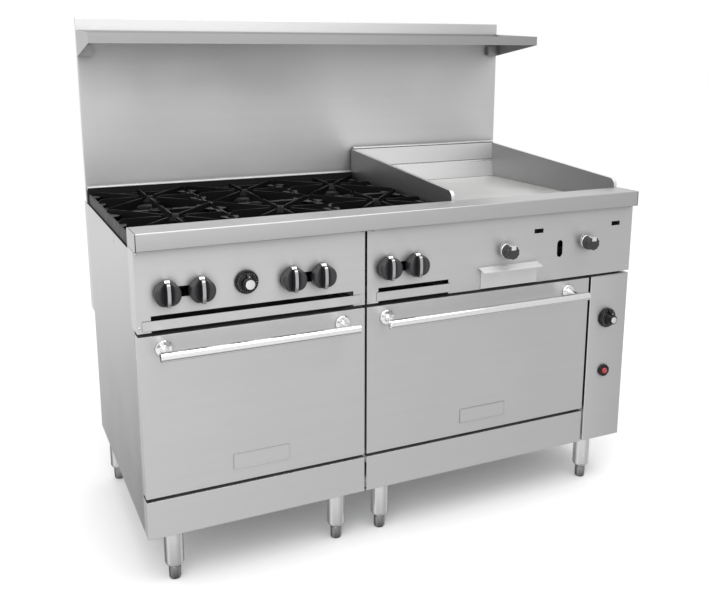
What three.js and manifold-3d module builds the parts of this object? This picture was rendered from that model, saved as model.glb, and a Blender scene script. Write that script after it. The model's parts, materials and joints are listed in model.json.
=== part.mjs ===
// Commercial gas range, 60 in wide: six open burners over a narrow oven on the left, a griddle over a wide
// oven on the right, a backguard with a high shelf, and eight adjustable legs.
// Millimetres. +X to the right, +Y to the back, +Z up. The origin is on the floor, under the middle of the box.
import * as THREE from 'three';
import { mergeVertices } from 'three/addons/utils/BufferGeometryUtils.js';
import Module from 'manifold-3d';

const wasm = await Module();
wasm.setup();

// ---------------------------------------------------------------- driving dimensions
// Cabinet coordinates: X = 0 at the left side, Y = 0 at the front of the doors, Z = 0 on the floor.
const WIDTH = 1524;
const SEAM_X = 611; // middle of the gap between the narrow and the wide section
const SEAM_GAP = 6.6;
const SHEET = 2; // sheet steel
const FIT = 0.5; // clearance between neighbouring pieces

const BODY_BOTTOM = 152.4; // 6 in legs
const KICK_TOP = 256;
const DOOR_BOTTOM = 265;
const DOOR_TOP = 693;
const PANEL_BOTTOM = 702;
const PANEL_TOP = 908;
const SIDE_TOP = 901;
const LEDGE_BOTTOM = 909;
const LEDGE_TOP = 954;
const TOTAL_HEIGHT = 1473.2; // 58 in

const LEDGE_FRONT = -21.6;
const DOOR_DEPTH = 38;
const SIDE_FRONT = 40; // front edge of the side panel beside the doors
const PANEL_DEPTH = 71; // front edge of the side panel beside the control panel
const BODY_BACK = 762;
const RISER_BACK = 831.5;
const RISER_BOTTOM = 547;
const BACKGUARD = { front: 777.7, back: 796 };
const SHELF = { front: 524.4, top: 1423.5, lip: 29, gussetTop: 1436, gussetBottom: 1357 };

const NARROW = { left: 0, right: SEAM_X - SEAM_GAP / 2 };
const WIDE = { left: SEAM_X + SEAM_GAP / 2, right: 1369.5 };
const COLUMN_LEFT = 1378.5; // strip with the wide oven's controls, beside its door

const CAVITY = { front: 43.5, back: 640, bottom: 300, top: 656 };
const NARROW_CAVITY = [51, 559];
const WIDE_CAVITY = [658, 1328];

const COOKTOP = { left: 5, right: 914, front: 76, back: 760, bottom: 901, top: 942, boxBottom: 760 };
const GRIDDLE = { left: 917, right: 1521.5, front: 74, back: 774, plateTop: 905, plateThickness: 20 };

const KNOB_Z = 798;
const NARROW_KNOBS = [74.3, 159.7, 399.7, 482.2];
const WIDE_KNOBS = [676.8, 760.6];
const GRIDDLE_KNOBS = [1062.5, 1352.1];
const GRIDDLE_KNOB_Z = 808;
const NARROW_DIAL = [276.6, 804];
const WIDE_DIAL = [1447, 556];
const IGNITER = [1446, 382];
const PANEL_GAP = 0.7; // from the front of a panel to the back of a knob

const HANDLE = { y: -65, z: 659, radius: 12.7, wall: 1.6 };
const CENTRE_Y = (HANDLE.y - HANDLE.radius + RISER_BACK) / 2;

const LEG_FRONT_Y = 51;
const LEG_REAR_Y = 672;

// ---------------------------------------------------------------- materials
const stainless = { color: 0xb9bab8, roughness: 0.38, metalness: 0.9 };
const chrome = { color: 0xdcdcdc, roughness: 0.12, metalness: 1 };
const castIron = { color: 0x1d1d1e, roughness: 0.65, metalness: 0.4 };
const blackPlastic = { color: 0x232426, roughness: 0.4, metalness: 0 };
const enamel = { color: 0x3a3b3d, roughness: 0.35, metalness: 0.2 };
const aluminised = { color: 0x8f9192, roughness: 0.5, metalness: 0.8 };
const brass = { color: 0xb08d4a, roughness: 0.35, metalness: 0.9 };
const redPlastic = { color: 0xa3141b, roughness: 0.25, metalness: 0 };

// ---------------------------------------------------------------- solids
function signedVolume(positions, triangles) {
  const corner = [new THREE.Vector3(), new THREE.Vector3(), new THREE.Vector3()];
  let sum = 0;
  for (let i = 0; i < triangles.length; i += 3) {
    corner.forEach((point, k) => point.fromArray(positions, triangles[i + k] * 3));
    sum += corner[0].dot(corner[1].cross(corner[2])) / 6;
  }
  return sum;
}

// Turns a closed three.js geometry into a manifold solid with its faces pointing out.
function solid(geometry) {
  const bare = geometry.clone();
  bare.deleteAttribute('normal');
  bare.deleteAttribute('uv');
  const merged = mergeVertices(bare, 1e-4);
  const positions = merged.attributes.position.array;
  const triangles = [];
  for (let i = 0; i < merged.index.count; i += 3) {
    const [a, b, c] = [0, 1, 2].map((k) => merged.index.getX(i + k));
    if (a !== b && b !== c && c !== a) triangles.push(a, b, c);
  }
  if (signedVolume(positions, triangles) < 0) triangles.reverse();
  return new wasm.Manifold(
    new wasm.Mesh({
      numProp: 3,
      vertProperties: Float32Array.from(positions),
      triVerts: Uint32Array.from(triangles),
    }),
  );
}

function join(...solids) {
  return solids.reduce((a, b) => a.add(b));
}

function cut(body, ...tools) {
  return tools.reduce((a, b) => a.subtract(b), body);
}

function ordered(a, b) {
  return [Math.min(a, b), Math.max(a, b)];
}

// A box from its X, Y and Z ranges.
function block([x0, x1], [y0, y1], [z0, z1]) {
  const geometry = new THREE.BoxGeometry(x1 - x0, y1 - y0, z1 - z0);
  geometry.translate((x0 + x1) / 2, (y0 + y1) / 2, (z0 + z1) / 2);
  return solid(geometry);
}

// A round bar between two points.
function rod(start, end, radius, sides = 10) {
  const from = new THREE.Vector3(...start);
  const along = new THREE.Vector3(...end).sub(from);
  const geometry = new THREE.CylinderGeometry(radius, radius, along.length(), sides);
  geometry.translate(0, along.length() / 2, 0);
  geometry.applyQuaternion(
    new THREE.Quaternion().setFromUnitVectors(new THREE.Vector3(0, 1, 0), along.clone().normalize()),
  );
  geometry.translate(...start);
  return solid(geometry);
}

// A turned shape on a vertical axis. The profile is a list of [radius, height] pairs.
function turned(profile, sides, x, y, z) {
  const geometry = new THREE.LatheGeometry(profile.map(([r, h]) => new THREE.Vector2(r, h)), sides);
  geometry.rotateX(Math.PI / 2);
  geometry.translate(x, y, z);
  return solid(geometry);
}

// A turned shape on an axis that points out of the front. The profile is [radius, distance in front].
function turnedToFront(profile, sides, x, z) {
  const geometry = new THREE.LatheGeometry(profile.map(([r, h]) => new THREE.Vector2(r, h)), sides);
  geometry.rotateY(Math.PI / sides);
  geometry.rotateZ(Math.PI);
  geometry.translate(x, 0, z);
  return solid(geometry);
}

// A side profile, a list of [y, z] pairs, stretched across the width between two X values.
function acrossWidth(profile, [x0, x1]) {
  const shape = new THREE.Shape(profile.map(([y, z]) => new THREE.Vector2(y, z)));
  const geometry = new THREE.ExtrudeGeometry(shape, { depth: x1 - x0, bevelEnabled: false });
  const axes = new THREE.Matrix4().makeBasis(
    new THREE.Vector3(0, 1, 0),
    new THREE.Vector3(0, 0, 1),
    new THREE.Vector3(1, 0, 0),
  );
  geometry.applyMatrix4(axes);
  geometry.translate(x0, 0, 0);
  return solid(geometry);
}

function grown([low, high], by) {
  return [low - by, high + by];
}

// ---------------------------------------------------------------- the range and its nodes
const range = new THREE.Group();
const cabinet = new THREE.Group();
cabinet.position.set(-WIDTH / 2, -CENTRE_Y, 0);
range.add(cabinet);

function addPiece(name, body, material) {
  const { vertProperties, triVerts } = body.getMesh();
  const geometry = new THREE.BufferGeometry();
  geometry.setAttribute('position', new THREE.BufferAttribute(vertProperties, 3));
  geometry.setIndex(new THREE.BufferAttribute(triVerts, 1));
  geometry.computeVertexNormals();
  const mesh = new THREE.Mesh(geometry, new THREE.MeshStandardMaterial(material));
  mesh.name = name;
  cabinet.add(mesh);
}

// ---------------------------------------------------------------- body shell
function sidePanel(outerX, inward) {
  const outline = [
    [SIDE_FRONT, BODY_BOTTOM],
    [BODY_BACK, BODY_BOTTOM],
    [BODY_BACK, SIDE_TOP],
    [PANEL_DEPTH + FIT, SIDE_TOP],
    [PANEL_DEPTH + FIT, PANEL_BOTTOM - FIT],
    [SIDE_FRONT, PANEL_BOTTOM - FIT],
  ];
  const flange = 16;
  const skin = acrossWidth(outline, ordered(outerX, outerX + inward * SHEET));
  const rearFlange = block(
    ordered(outerX, outerX + inward * flange),
    [BODY_BACK - SHEET, BODY_BACK],
    [BODY_BOTTOM, COOKTOP.boxBottom - 10],
  );
  return join(skin, rearFlange);
}

function backPanel() {
  const y = [BODY_BACK - 2 * SHEET - FIT, BODY_BACK - SHEET - FIT];
  const sheet = block([SHEET + 1, WIDTH - SHEET - 1], y, [BODY_BOTTOM + 8, COOKTOP.boxBottom - 5]);
  return cut(sheet, rod([GAS_PIPE.x, y[0] - 5, GAS_PIPE.inletZ], [GAS_PIPE.x, y[1] + 5, GAS_PIPE.inletZ], 20));
}

function baseFrame(left, right) {
  const bar = 36;
  const z = [BODY_BOTTOM + 2, BODY_BOTTOM + 2 + bar];
  const x = [left, right];
  const y = [SIDE_FRONT + 5, BODY_BACK - 12];
  return cut(block(x, y, z), block(grown(x, -bar), grown(y, -bar), grown(z, 5)));
}

function kickPanel(left, right, hasLeftReturn) {
  const face = block([left, right], [0, SHEET], [BODY_BOTTOM, KICK_TOP]);
  const topFlange = block([left, right], [0, 30], [KICK_TOP - SHEET, KICK_TOP]);
  const bottomFlange = block([left, right], [0, 18], [BODY_BOTTOM, BODY_BOTTOM + SHEET]);
  const panel = join(face, topFlange, bottomFlange);
  if (!hasLeftReturn) return panel;
  return join(panel, block([left, left + SHEET], [0, SIDE_FRONT - FIT], [BODY_BOTTOM, KICK_TOP]));
}

function frontLedge() {
  const profile = [
    [0, LEDGE_BOTTOM],
    [0, LEDGE_BOTTOM + SHEET],
    [LEDGE_FRONT + SHEET, LEDGE_BOTTOM + SHEET],
    [LEDGE_FRONT + SHEET, LEDGE_TOP - SHEET],
    [PANEL_DEPTH - SHEET, LEDGE_TOP - SHEET],
    [PANEL_DEPTH - SHEET, LEDGE_TOP - 30],
    [PANEL_DEPTH, LEDGE_TOP - 30],
    [PANEL_DEPTH, LEDGE_TOP],
    [LEDGE_FRONT, LEDGE_TOP],
    [LEDGE_FRONT, LEDGE_BOTTOM],
  ];
  const endCap = [
    [LEDGE_FRONT, LEDGE_BOTTOM],
    [PANEL_DEPTH, LEDGE_BOTTOM],
    [PANEL_DEPTH, LEDGE_TOP],
    [LEDGE_FRONT, LEDGE_TOP],
  ];
  return join(
    acrossWidth(profile, grown([0, WIDTH], -SHEET / 2)),
    acrossWidth(endCap, [0, SHEET]),
    acrossWidth(endCap, [WIDTH - SHEET, WIDTH]),
  );
}

// ---------------------------------------------------------------- legs
function leg(x, y) {
  const profile = [
    [0, 0],
    [10, 0],
    [15, 5],
    [16.5, 38],
    [19, 41],
    [25.4, 48],
    [25.4, BODY_BOTTOM + 1],
    [0, BODY_BOTTOM + 1],
  ];
  return turned(profile, 12, x, y, 0);
}

const LEGS = {
  leg_1_front: [74, LEG_FRONT_Y],
  leg_2_front: [541, LEG_FRONT_Y],
  leg_3_front: [680, LEG_FRONT_Y],
  leg_4_front: [1420, LEG_FRONT_Y],
  leg_1_rear: [34, LEG_REAR_Y],
  leg_2_rear: [574, LEG_REAR_Y],
  leg_3_rear: [648, LEG_REAR_Y],
  leg_4_rear: [1490, LEG_REAR_Y],
};

// ---------------------------------------------------------------- control panels
const SLOT_Z = [732.3, 743.7]; // finger slot above a crumb tray
const NARROW_TRAY_SLOT = [34.7, 573.5];
const WIDE_TRAY_SLOT = [647.9, 868.3];
const GREASE_SLOT = { x: [976, 1168], top: 758 };
const KNOB_SLOT_HEIGHT = 27;
const STEM_HOLE = 9;
const SIGHT_SLOTS = [1173, 1460];
const SIGHT_SLOT_Z = [850, 863];
const LIGHTING_HOLE = { x: 1252, z: [780, 812], radius: 10 };

function throughFront([x0, x1], [z0, z1]) {
  return block([x0, x1], [-10, 10], [z0, z1]);
}

function stemHole(x, z, radius = STEM_HOLE) {
  return rod([x, -10, z], [x, 10, z], radius);
}

// One slot behind each pair of burner knobs.
function knobPairSlot(x0, x1) {
  return throughFront(grown([x0, x1], STEM_HOLE), [KNOB_Z - KNOB_SLOT_HEIGHT / 2, KNOB_Z + KNOB_SLOT_HEIGHT / 2]);
}

function panelBlank(left, right, outerReturnX) {
  return join(
    block([left, right], [0, SHEET], [PANEL_BOTTOM, PANEL_TOP]),
    block([left, right], [0, 60], [PANEL_TOP - SHEET, PANEL_TOP]),
    block(ordered(...outerReturnX), [0, PANEL_DEPTH], [PANEL_BOTTOM, PANEL_TOP]),
  );
}

function narrowControlPanel() {
  return cut(
    panelBlank(NARROW.left, NARROW.right, [NARROW.left, NARROW.left + SHEET]),
    throughFront(NARROW_TRAY_SLOT, [PANEL_BOTTOM - 5, SLOT_Z[1]]),
    knobPairSlot(NARROW_KNOBS[0], NARROW_KNOBS[1]),
    knobPairSlot(NARROW_KNOBS[2], NARROW_KNOBS[3]),
    stemHole(...NARROW_DIAL),
  );
}

function wideControlPanel() {
  const hole = LIGHTING_HOLE;
  return cut(
    panelBlank(WIDE.left, WIDTH, [WIDTH - SHEET, WIDTH]),
    throughFront(WIDE_TRAY_SLOT, [PANEL_BOTTOM - 5, SLOT_Z[1]]),
    throughFront(GREASE_SLOT.x, [PANEL_BOTTOM - 5, GREASE_SLOT.top]),
    knobPairSlot(...WIDE_KNOBS),
    ...GRIDDLE_KNOBS.map((x) => stemHole(x, GRIDDLE_KNOB_Z)),
    ...SIGHT_SLOTS.map((x) => throughFront([x - 16, x + 16], SIGHT_SLOT_Z)),
    throughFront([hole.x - hole.radius, hole.x + hole.radius], hole.z),
    ...hole.z.map((z) => stemHole(hole.x, z, hole.radius)),
  );
}

const BEZEL = { outer: 19.5, inner: 11.5, front: 8 };

// The strip beside the wide oven's door, with the black bezel that carries the igniter button.
function ovenControlPanel() {
  const z = [BODY_BOTTOM, DOOR_TOP + 1];
  const returnDepth = [0, SIDE_FRONT - FIT];
  const [x, igniterZ] = IGNITER;
  return cut(
    join(
      block([COLUMN_LEFT, WIDTH], [0, SHEET], z),
      block([COLUMN_LEFT, COLUMN_LEFT + SHEET], returnDepth, z),
      block([WIDTH - SHEET, WIDTH], returnDepth, z),
      block([COLUMN_LEFT, WIDTH], [0, 30], [z[1] - SHEET, z[1]]),
      rod([x, -BEZEL.front, igniterZ], [x, 1, igniterZ], BEZEL.outer, 16),
    ),
    stemHole(x, igniterZ, BEZEL.inner),
    stemHole(...WIDE_DIAL),
  );
}

function burnerKnob(x) {
  const skirt = [
    [0, PANEL_GAP],
    [31, PANEL_GAP],
    [32.5, 3],
    [32.5, 12],
    [30, 15],
    [0, 15],
  ];
  const grip = block([x - 6.5, x + 6.5], [-38, -10], [KNOB_Z - 29, KNOB_Z + 29]);
  return join(turnedToFront(skirt, 20, x, KNOB_Z), grip);
}

function griddleKnob(x) {
  const profile = [
    [0, PANEL_GAP],
    [23, PANEL_GAP],
    [23, 5],
    [20.5, 7],
    [20.5, 32],
    [18.5, 34],
    [0, 34],
  ];
  return turnedToFront(profile, 16, x, GRIDDLE_KNOB_Z);
}

function thermostatDial(x, z) {
  const skirt = [
    [0, PANEL_GAP],
    [31, PANEL_GAP],
    [31, 10],
    [28.5, 12],
    [12.5, 12],
    [12.5, 35],
    [11, 36],
    [0, 36],
  ];
  const pointer = block([x - 5, x + 5], [-30, -8], [z, z + 27]);
  return join(turnedToFront(skirt, 20, x, z), pointer);
}

function igniterButton([x, z]) {
  const profile = [
    [0, -12],
    [10.5, -12],
    [10.5, 10],
    [7, 12.5],
    [0, 13.5],
  ];
  return turnedToFront(profile, 16, x, z);
}

// ---------------------------------------------------------------- trays and drawer
const TRAY_Z = [708, 730];
const TRAY_BACK = 600;
const STRIP = { y: [-1.9, -0.5], z: [707, 732] };

function openPan(x, y, z, wall = 1.5) {
  return cut(block(x, y, z), block(grown(x, -wall), grown(y, -wall), [z[0] + wall, z[1] + 5]));
}

// A shallow pan behind a strip that covers its opening.
function crumbTray(slot, strip) {
  return join(
    openPan(grown(slot, -3), [STRIP.y[1] - 0.2, TRAY_BACK], TRAY_Z),
    block(strip, STRIP.y, STRIP.z),
  );
}

function greaseDrawer() {
  const front = [974.2, 1169.5];
  const frontTop = 767;
  const lip = [
    [STRIP.y[1], frontTop],
    [-30, 757.5],
    [-30, 755.5],
    [-28.5, 755.5],
    [STRIP.y[1], frontTop - SHEET],
  ];
  const face = block(front, STRIP.y, [703.5, frontTop - 1]);
  const pan = openPan(grown(GREASE_SLOT.x, -2), [STRIP.y[1] - 0.2, 420], [706, 755]);
  return join(pan, face, acrossWidth(lip, [967, 1170]));
}

// ---------------------------------------------------------------- doors and ovens
function door(left, right, cavity) {
  const x = [left, right];
  const y = [0, DOOR_DEPTH];
  const z = [DOOR_BOTTOM, DOOR_TOP];
  const linerX = grown(cavity, -9);
  const linerY = [DOOR_DEPTH - 1, DOOR_DEPTH + 10];
  const linerZ = [CAVITY.bottom + 12, CAVITY.top - 8];
  const ventWidth = 70;
  const vents = [0.25, 0.5, 0.75].map((share) => {
    const centre = left + share * (right - left);
    return block([centre - ventWidth / 2, centre + ventWidth / 2], [14, 24], [DOOR_BOTTOM - 5, DOOR_BOTTOM + 5]);
  });
  return cut(
    join(block(x, y, z), block(linerX, linerY, linerZ)),
    block(grown(x, -SHEET), grown(y, -SHEET), grown(z, -SHEET)),
    block(grown(linerX, -SHEET), [DOOR_DEPTH - 5, linerY[1] - SHEET], grown(linerZ, -SHEET)),
    ...vents,
  );
}

function handle(left, right, posts) {
  const { y, z, radius, wall } = HANDLE;
  const tube = cut(
    rod([left, y, z], [right, y, z], radius, 16),
    rod([left - 5, y, z], [right + 5, y, z], radius - wall, 12),
  );
  const supports = posts.map((x) =>
    join(
      rod([x, y + radius - 1, z], [x, -2, z], 9),
      rod([x, -6, z], [x, -FIT, z], 21, 16),
    ),
  );
  return join(tube, ...supports);
}

// The oven cavity with its front frame and the runners for the rack.
function ovenLiner(frameX, cavityX) {
  const { front, back, bottom, top } = CAVITY;
  const cavityZ = [bottom, top];
  const frame = block(frameX, [front - SHEET, front], [262, 699]);
  const tub = block(grown(cavityX, SHEET), [front - 1, back], grown(cavityZ, SHEET));
  const hollow = block(cavityX, [front - 10, back - SHEET], cavityZ);
  const runner = 8;
  const runners = [400, 478, 556].flatMap((z) => [
    block([cavityX[0] - 1, cavityX[0] + runner], [front + 30, back - 30], [z, z + 4]),
    block([cavityX[1] - runner, cavityX[1] + 1], [front + 30, back - 30], [z, z + 4]),
  ]);
  return join(cut(join(frame, tub), hollow), ...runners);
}

function ovenRack([left, right]) {
  const wire = 6;
  const x = [left + 3, right - 3];
  const y = [CAVITY.front + 40, CAVITY.back - 35];
  const z = [482.4, 482.4 + wire];
  const rim = cut(block(x, y, z), block(grown(x, -wire), grown(y, -wire), grown(z, 5)));
  const count = Math.round((x[1] - x[0]) / 62);
  const bars = Array.from({ length: count - 1 }, (_, i) => {
    const middle = x[0] + ((i + 1) * (x[1] - x[0])) / count;
    return block([middle - wire / 2, middle + wire / 2], grown(y, -wire / 2), grown(z, -FIT));
  });
  return join(rim, ...bars);
}

function ovenBurner([left, right]) {
  const z = 232;
  const middle = (left + right) / 2;
  const spread = (right - left) / 4;
  return join(
    rod([middle, 70, z], [middle, 560, z], 15),
    rod([middle - spread, 330, z], [middle + spread, 330, z], 12),
    rod([middle - spread, 180, z], [middle - spread, 560, z], 12),
    rod([middle + spread, 180, z], [middle + spread, 560, z], 12),
  );
}

// ---------------------------------------------------------------- gas supply
const GAS_PIPE = { x: 1495, y: 46, z: 798, radius: 11, inletZ: 232, inletY: 800 };

function valve(x, z) {
  const { y, radius } = GAS_PIPE;
  return join(
    block([x - 11, x + 11], [y - radius - 14, y], [z - 14, z + 14]),
    rod([x, y - radius - 10, z], [x, -0.2, z], 4),
  );
}

function gasManifold() {
  const { x, y, z, radius, inletZ, inletY } = GAS_PIPE;
  const burnerValves = [...NARROW_KNOBS, ...WIDE_KNOBS].map((knobX) => valve(knobX, KNOB_Z));
  const griddleValves = GRIDDLE_KNOBS.map((knobX) => valve(knobX, GRIDDLE_KNOB_Z));
  const [dialX, dialZ] = WIDE_DIAL;
  return join(
    rod([30, y, z], [x + radius, y, z], radius),
    rod([x, y, z + radius], [x, y, inletZ - radius], radius),
    rod([x, y - radius, inletZ], [x, inletY, inletZ], radius),
    ...burnerValves,
    ...griddleValves,
    valve(...NARROW_DIAL),
    valve(dialX, dialZ),
    block([dialX, x], [y - 8, y + 8], [dialZ - 8, dialZ + 8]),
  );
}

// ---------------------------------------------------------------- cooktop
const COLUMN_PITCH = (COOKTOP.right - COOKTOP.left) / 3;
const ROW_PITCH = (COOKTOP.back - COOKTOP.front) / 2;
const GRATE_GAP = 1.3;

function burnerCentre(column, row) {
  return [COOKTOP.left + (column + 0.5) * COLUMN_PITCH, COOKTOP.front + (row + 0.5) * ROW_PITCH];
}

function burnerBox() {
  const bottom = COOKTOP.boxBottom;
  const seat = COOKTOP.bottom - 1;
  const x = [COOKTOP.left - 2, COOKTOP.right + 2];
  const y = [COOKTOP.front - 3, COOKTOP.back + 2.5];
  const walls = cut(block(x, y, [bottom, seat]), block(grown(x, -SHEET), grown(y, -SHEET), [bottom - 5, seat + 5]));
  const frontWall = block(x, [y[0], y[0] + SHEET], [bottom, LEDGE_TOP - 6]);
  const bead = { y: COOKTOP.back + 9, z: 951, radius: 7.5 };
  const rearWall = block(x, [y[1] - SHEET, y[1]], [bottom, bead.z]);
  const rail = [seat - 14, seat];
  const columnRails = [1, 2].map((i) => {
    const middle = COOKTOP.left + i * COLUMN_PITCH;
    return block([middle - 8, middle + 8], grown(y, -SHEET / 2), rail);
  });
  const rowRail = block(grown(x, -SHEET / 2), [COOKTOP.front + ROW_PITCH - 8, COOKTOP.front + ROW_PITCH + 8], rail);
  return join(
    walls,
    frontWall,
    rearWall,
    rod([x[0] + 1, bead.y, bead.z], [x[1] - 1, bead.y, bead.z], bead.radius),
    ...columnRails,
    rowRail,
  );
}

// Two burner heads in a column, with the mixing tubes that feed them from the front.
function burnerPair(column) {
  const tubeZ = 868;
  const heads = [0, 1].map((row) => {
    const [x, y] = burnerCentre(column, row);
    const profile = [
      [0, tubeZ - 14],
      [34, tubeZ - 14],
      [36, 890],
      [50, 893],
      [50, 901],
      [42, 912],
      [0, 914],
    ];
    const tubeX = x + (row === 0 ? -22 : 22);
    return join(turned(profile, 16, x, y, 0), rod([tubeX, y, tubeZ], [tubeX, 92, tubeZ], 12));
  });
  return join(...heads);
}

// A top grate: a low frame, eight fins that point at the burner, and a sloping bowl below them.
function grate(column, row) {
  const [cx, cy] = burnerCentre(column, row);
  const { bottom, top } = COOKTOP;
  const x = [cx - COLUMN_PITCH / 2 + GRATE_GAP / 2, cx + COLUMN_PITCH / 2 - GRATE_GAP / 2];
  const y = [cy - ROW_PITCH / 2 + GRATE_GAP / 2, cy + ROW_PITCH / 2 - GRATE_GAP / 2];
  const bar = 9;
  const frameTop = top - 14;
  const frame = cut(
    block(x, y, [bottom, frameTop]),
    block(grown(x, -bar), grown(y, -bar), [bottom - 5, frameTop + 5]),
  );
  const bowlSides = 8;
  const bowl = turned(
    [
      [86, 903],
      [138, 915],
      [138, 921],
      [86, 909],
      [86, 903],
    ],
    bowlSides,
    cx,
    cy,
    0,
  );
  const reachX = (x[1] - x[0]) / 2 - 1;
  const reachY = (y[1] - y[0]) / 2 - 1;
  const fins = Array.from({ length: 8 }, (_, i) => {
    const angle = (i * Math.PI) / 4;
    const [dx, dy] = [Math.cos(angle), Math.sin(angle)];
    const diagonal = i % 2 === 1;
    const ends = diagonal
      ? [Math.sign(dx) * reachX, Math.sign(dy) * reachY]
      : [Math.round(dx) * reachX, Math.round(dy) * reachY];
    return fin(cx, cy, ends[0], ends[1], [bottom + 14, top]);
  });
  const pieces = [frame, bowl, ...fins];
  if (column === 0) pieces.push(block([x[0], x[0] + bar], y, [bottom, top]));
  return join(...pieces);
}

// An upright blade from near the middle of a grate out to its frame.
function fin(cx, cy, dx, dy, [z0, z1]) {
  const inner = 32;
  const thickness = 6;
  const length = Math.hypot(dx, dy);
  const profile = new THREE.Shape([
    new THREE.Vector2(inner, z1),
    new THREE.Vector2(inner, z1 - 10),
    new THREE.Vector2(inner + 60, z0),
    new THREE.Vector2(length - 4, z0),
    new THREE.Vector2(length - 4, z1 - 4),
    new THREE.Vector2(length - 14, z1),
  ]);
  const geometry = new THREE.ExtrudeGeometry(profile, { depth: thickness, bevelEnabled: false });
  geometry.translate(0, 0, -thickness / 2);
  geometry.rotateX(Math.PI / 2);
  geometry.rotateZ(Math.atan2(dy, dx));
  geometry.translate(cx, cy, 0);
  return solid(geometry);
}

// ---------------------------------------------------------------- griddle
const GUARD = { thickness: 11, backTop: 1032, frontTop: 980, chamfer: 14 };
const TROUGH = { back: 148, bottom: 868 };

function griddlePlate() {
  const inside = grown([GRIDDLE.left + GUARD.thickness, GRIDDLE.right - GUARD.thickness], -FIT);
  return block(
    inside,
    [TROUGH.back + 2, GRIDDLE.back - 26],
    [GRIDDLE.plateTop - GRIDDLE.plateThickness, GRIDDLE.plateTop],
  );
}

// The welded splash guard: two sides, the back with its bend, and the grease trough in front of the plate.
function griddleSplash() {
  const { left, right, front, back, plateTop } = GRIDDLE;
  const bottom = TROUGH.bottom;
  const lowBack = BODY_BACK + 1;
  const shoulder = SIDE_TOP + 1;
  const side = [
    [front, bottom],
    [lowBack, bottom],
    [lowBack, shoulder],
    [back, shoulder],
    [back, GUARD.backTop],
    [front + GUARD.chamfer, GUARD.frontTop],
    [front, GUARD.frontTop - GUARD.chamfer],
  ];
  const splash = [
    [back - 25, plateTop - 25],
    [lowBack, plateTop - 25],
    [lowBack, shoulder],
    [back, shoulder],
    [back, 1040],
    [back - 10, 1040],
    [back - 10, 964],
    [back - 25, plateTop + 2],
  ];
  const inner = grown([left, right], -GUARD.thickness / 2);
  return join(
    acrossWidth(side, [left, left + GUARD.thickness]),
    acrossWidth(side, [right - GUARD.thickness, right]),
    acrossWidth(splash, inner),
    block(inner, [front, front + SHEET], [bottom, LEDGE_TOP - 4]),
    block(inner, [front, TROUGH.back], [bottom, bottom + SHEET]),
    block(inner, [TROUGH.back - SHEET, TROUGH.back], [bottom, plateTop - 6]),
  );
}

function griddleBurner() {
  const z = 832;
  const x = [GRIDDLE.left + 70, GRIDDLE.right - 70];
  const runs = [0, 1, 2, 3].map((i) => {
    const runX = x[0] + (i * (x[1] - x[0])) / 3;
    return rod([runX, 200, z], [runX, 700, z], 12);
  });
  return join(rod([x[0], 230, z], [x[1], 230, z], 12), ...runs);
}

// ---------------------------------------------------------------- back
function flueRiser() {
  const x = [0, WIDTH];
  const y = [BODY_BACK + 2, RISER_BACK];
  const z = [RISER_BOTTOM, SIDE_TOP - 1];
  return cut(block(x, y, z), block(grown(x, -SHEET), grown(y, -SHEET), grown(z, 5)));
}

function backguard() {
  const x = [0, WIDTH];
  const y = [BACKGUARD.front, BACKGUARD.back];
  const z = [SIDE_TOP + 1, TOTAL_HEIGHT];
  return cut(block(x, y, z), block(grown(x, -SHEET), grown(y, -SHEET), [z[0] - 5, z[1] - SHEET]));
}

function highShelf() {
  const { front, top, lip, gussetTop, gussetBottom } = SHELF;
  const back = BACKGUARD.front - FIT;
  const gusset = [
    [front, top - lip],
    [front, top],
    [back, gussetTop],
    [back, gussetBottom],
  ];
  const tab = { width: 44, depth: 17, z: [gussetBottom + 2, top - lip - 2] };
  const tabY = [back - tab.depth, back];
  const inner = grown([0, WIDTH], -SHEET / 2);
  return join(
    block(inner, [front, back], [top - SHEET, top]),
    block(inner, [front, front + SHEET], [top - lip, top]),
    block(inner, [back - SHEET, back], [top - SHEET, gussetTop]),
    acrossWidth(gusset, [0, SHEET]),
    acrossWidth(gusset, [WIDTH - SHEET, WIDTH]),
    block([inner[0], tab.width], tabY, tab.z),
    block([WIDTH - tab.width, inner[1]], tabY, tab.z),
  );
}

// ---------------------------------------------------------------- assembly
addPiece('side_panel_left', sidePanel(0, 1), stainless);
addPiece('side_panel_right', sidePanel(WIDTH, -1), stainless);
addPiece('back_panel', backPanel(), aluminised);
addPiece('base_frame_left', baseFrame(NARROW.left + 4, NARROW.right - 4), aluminised);
addPiece('base_frame_right', baseFrame(WIDE.left + 4, WIDTH - 4), aluminised);
addPiece('kick_panel_left', kickPanel(NARROW.left, NARROW.right, true), stainless);
addPiece('kick_panel_right', kickPanel(WIDE.left, WIDE.right, false), stainless);
addPiece('front_ledge', frontLedge(), stainless);
Object.entries(LEGS).forEach(([name, place]) => addPiece(name, leg(...place), stainless));

addPiece('control_panel_left', narrowControlPanel(), stainless);
addPiece('control_panel_right', wideControlPanel(), stainless);
addPiece('oven_control_panel', ovenControlPanel(), stainless);
[...NARROW_KNOBS, ...WIDE_KNOBS].forEach((x, i) => addPiece(`burner_knob_${i + 1}`, burnerKnob(x), blackPlastic));
GRIDDLE_KNOBS.forEach((x, i) => addPiece(`griddle_knob_${i + 1}`, griddleKnob(x), blackPlastic));
addPiece('thermostat_dial_left', thermostatDial(...NARROW_DIAL), blackPlastic);
addPiece('thermostat_dial_right', thermostatDial(...WIDE_DIAL), blackPlastic);
addPiece('igniter_button', igniterButton(IGNITER), redPlastic);

addPiece('crumb_tray_left', crumbTray(NARROW_TRAY_SLOT, [13.1, 595]), stainless);
addPiece('crumb_tray_right', crumbTray(WIDE_TRAY_SLOT, [642.7, 874]), stainless);
addPiece('grease_drawer', greaseDrawer(), stainless);

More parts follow.
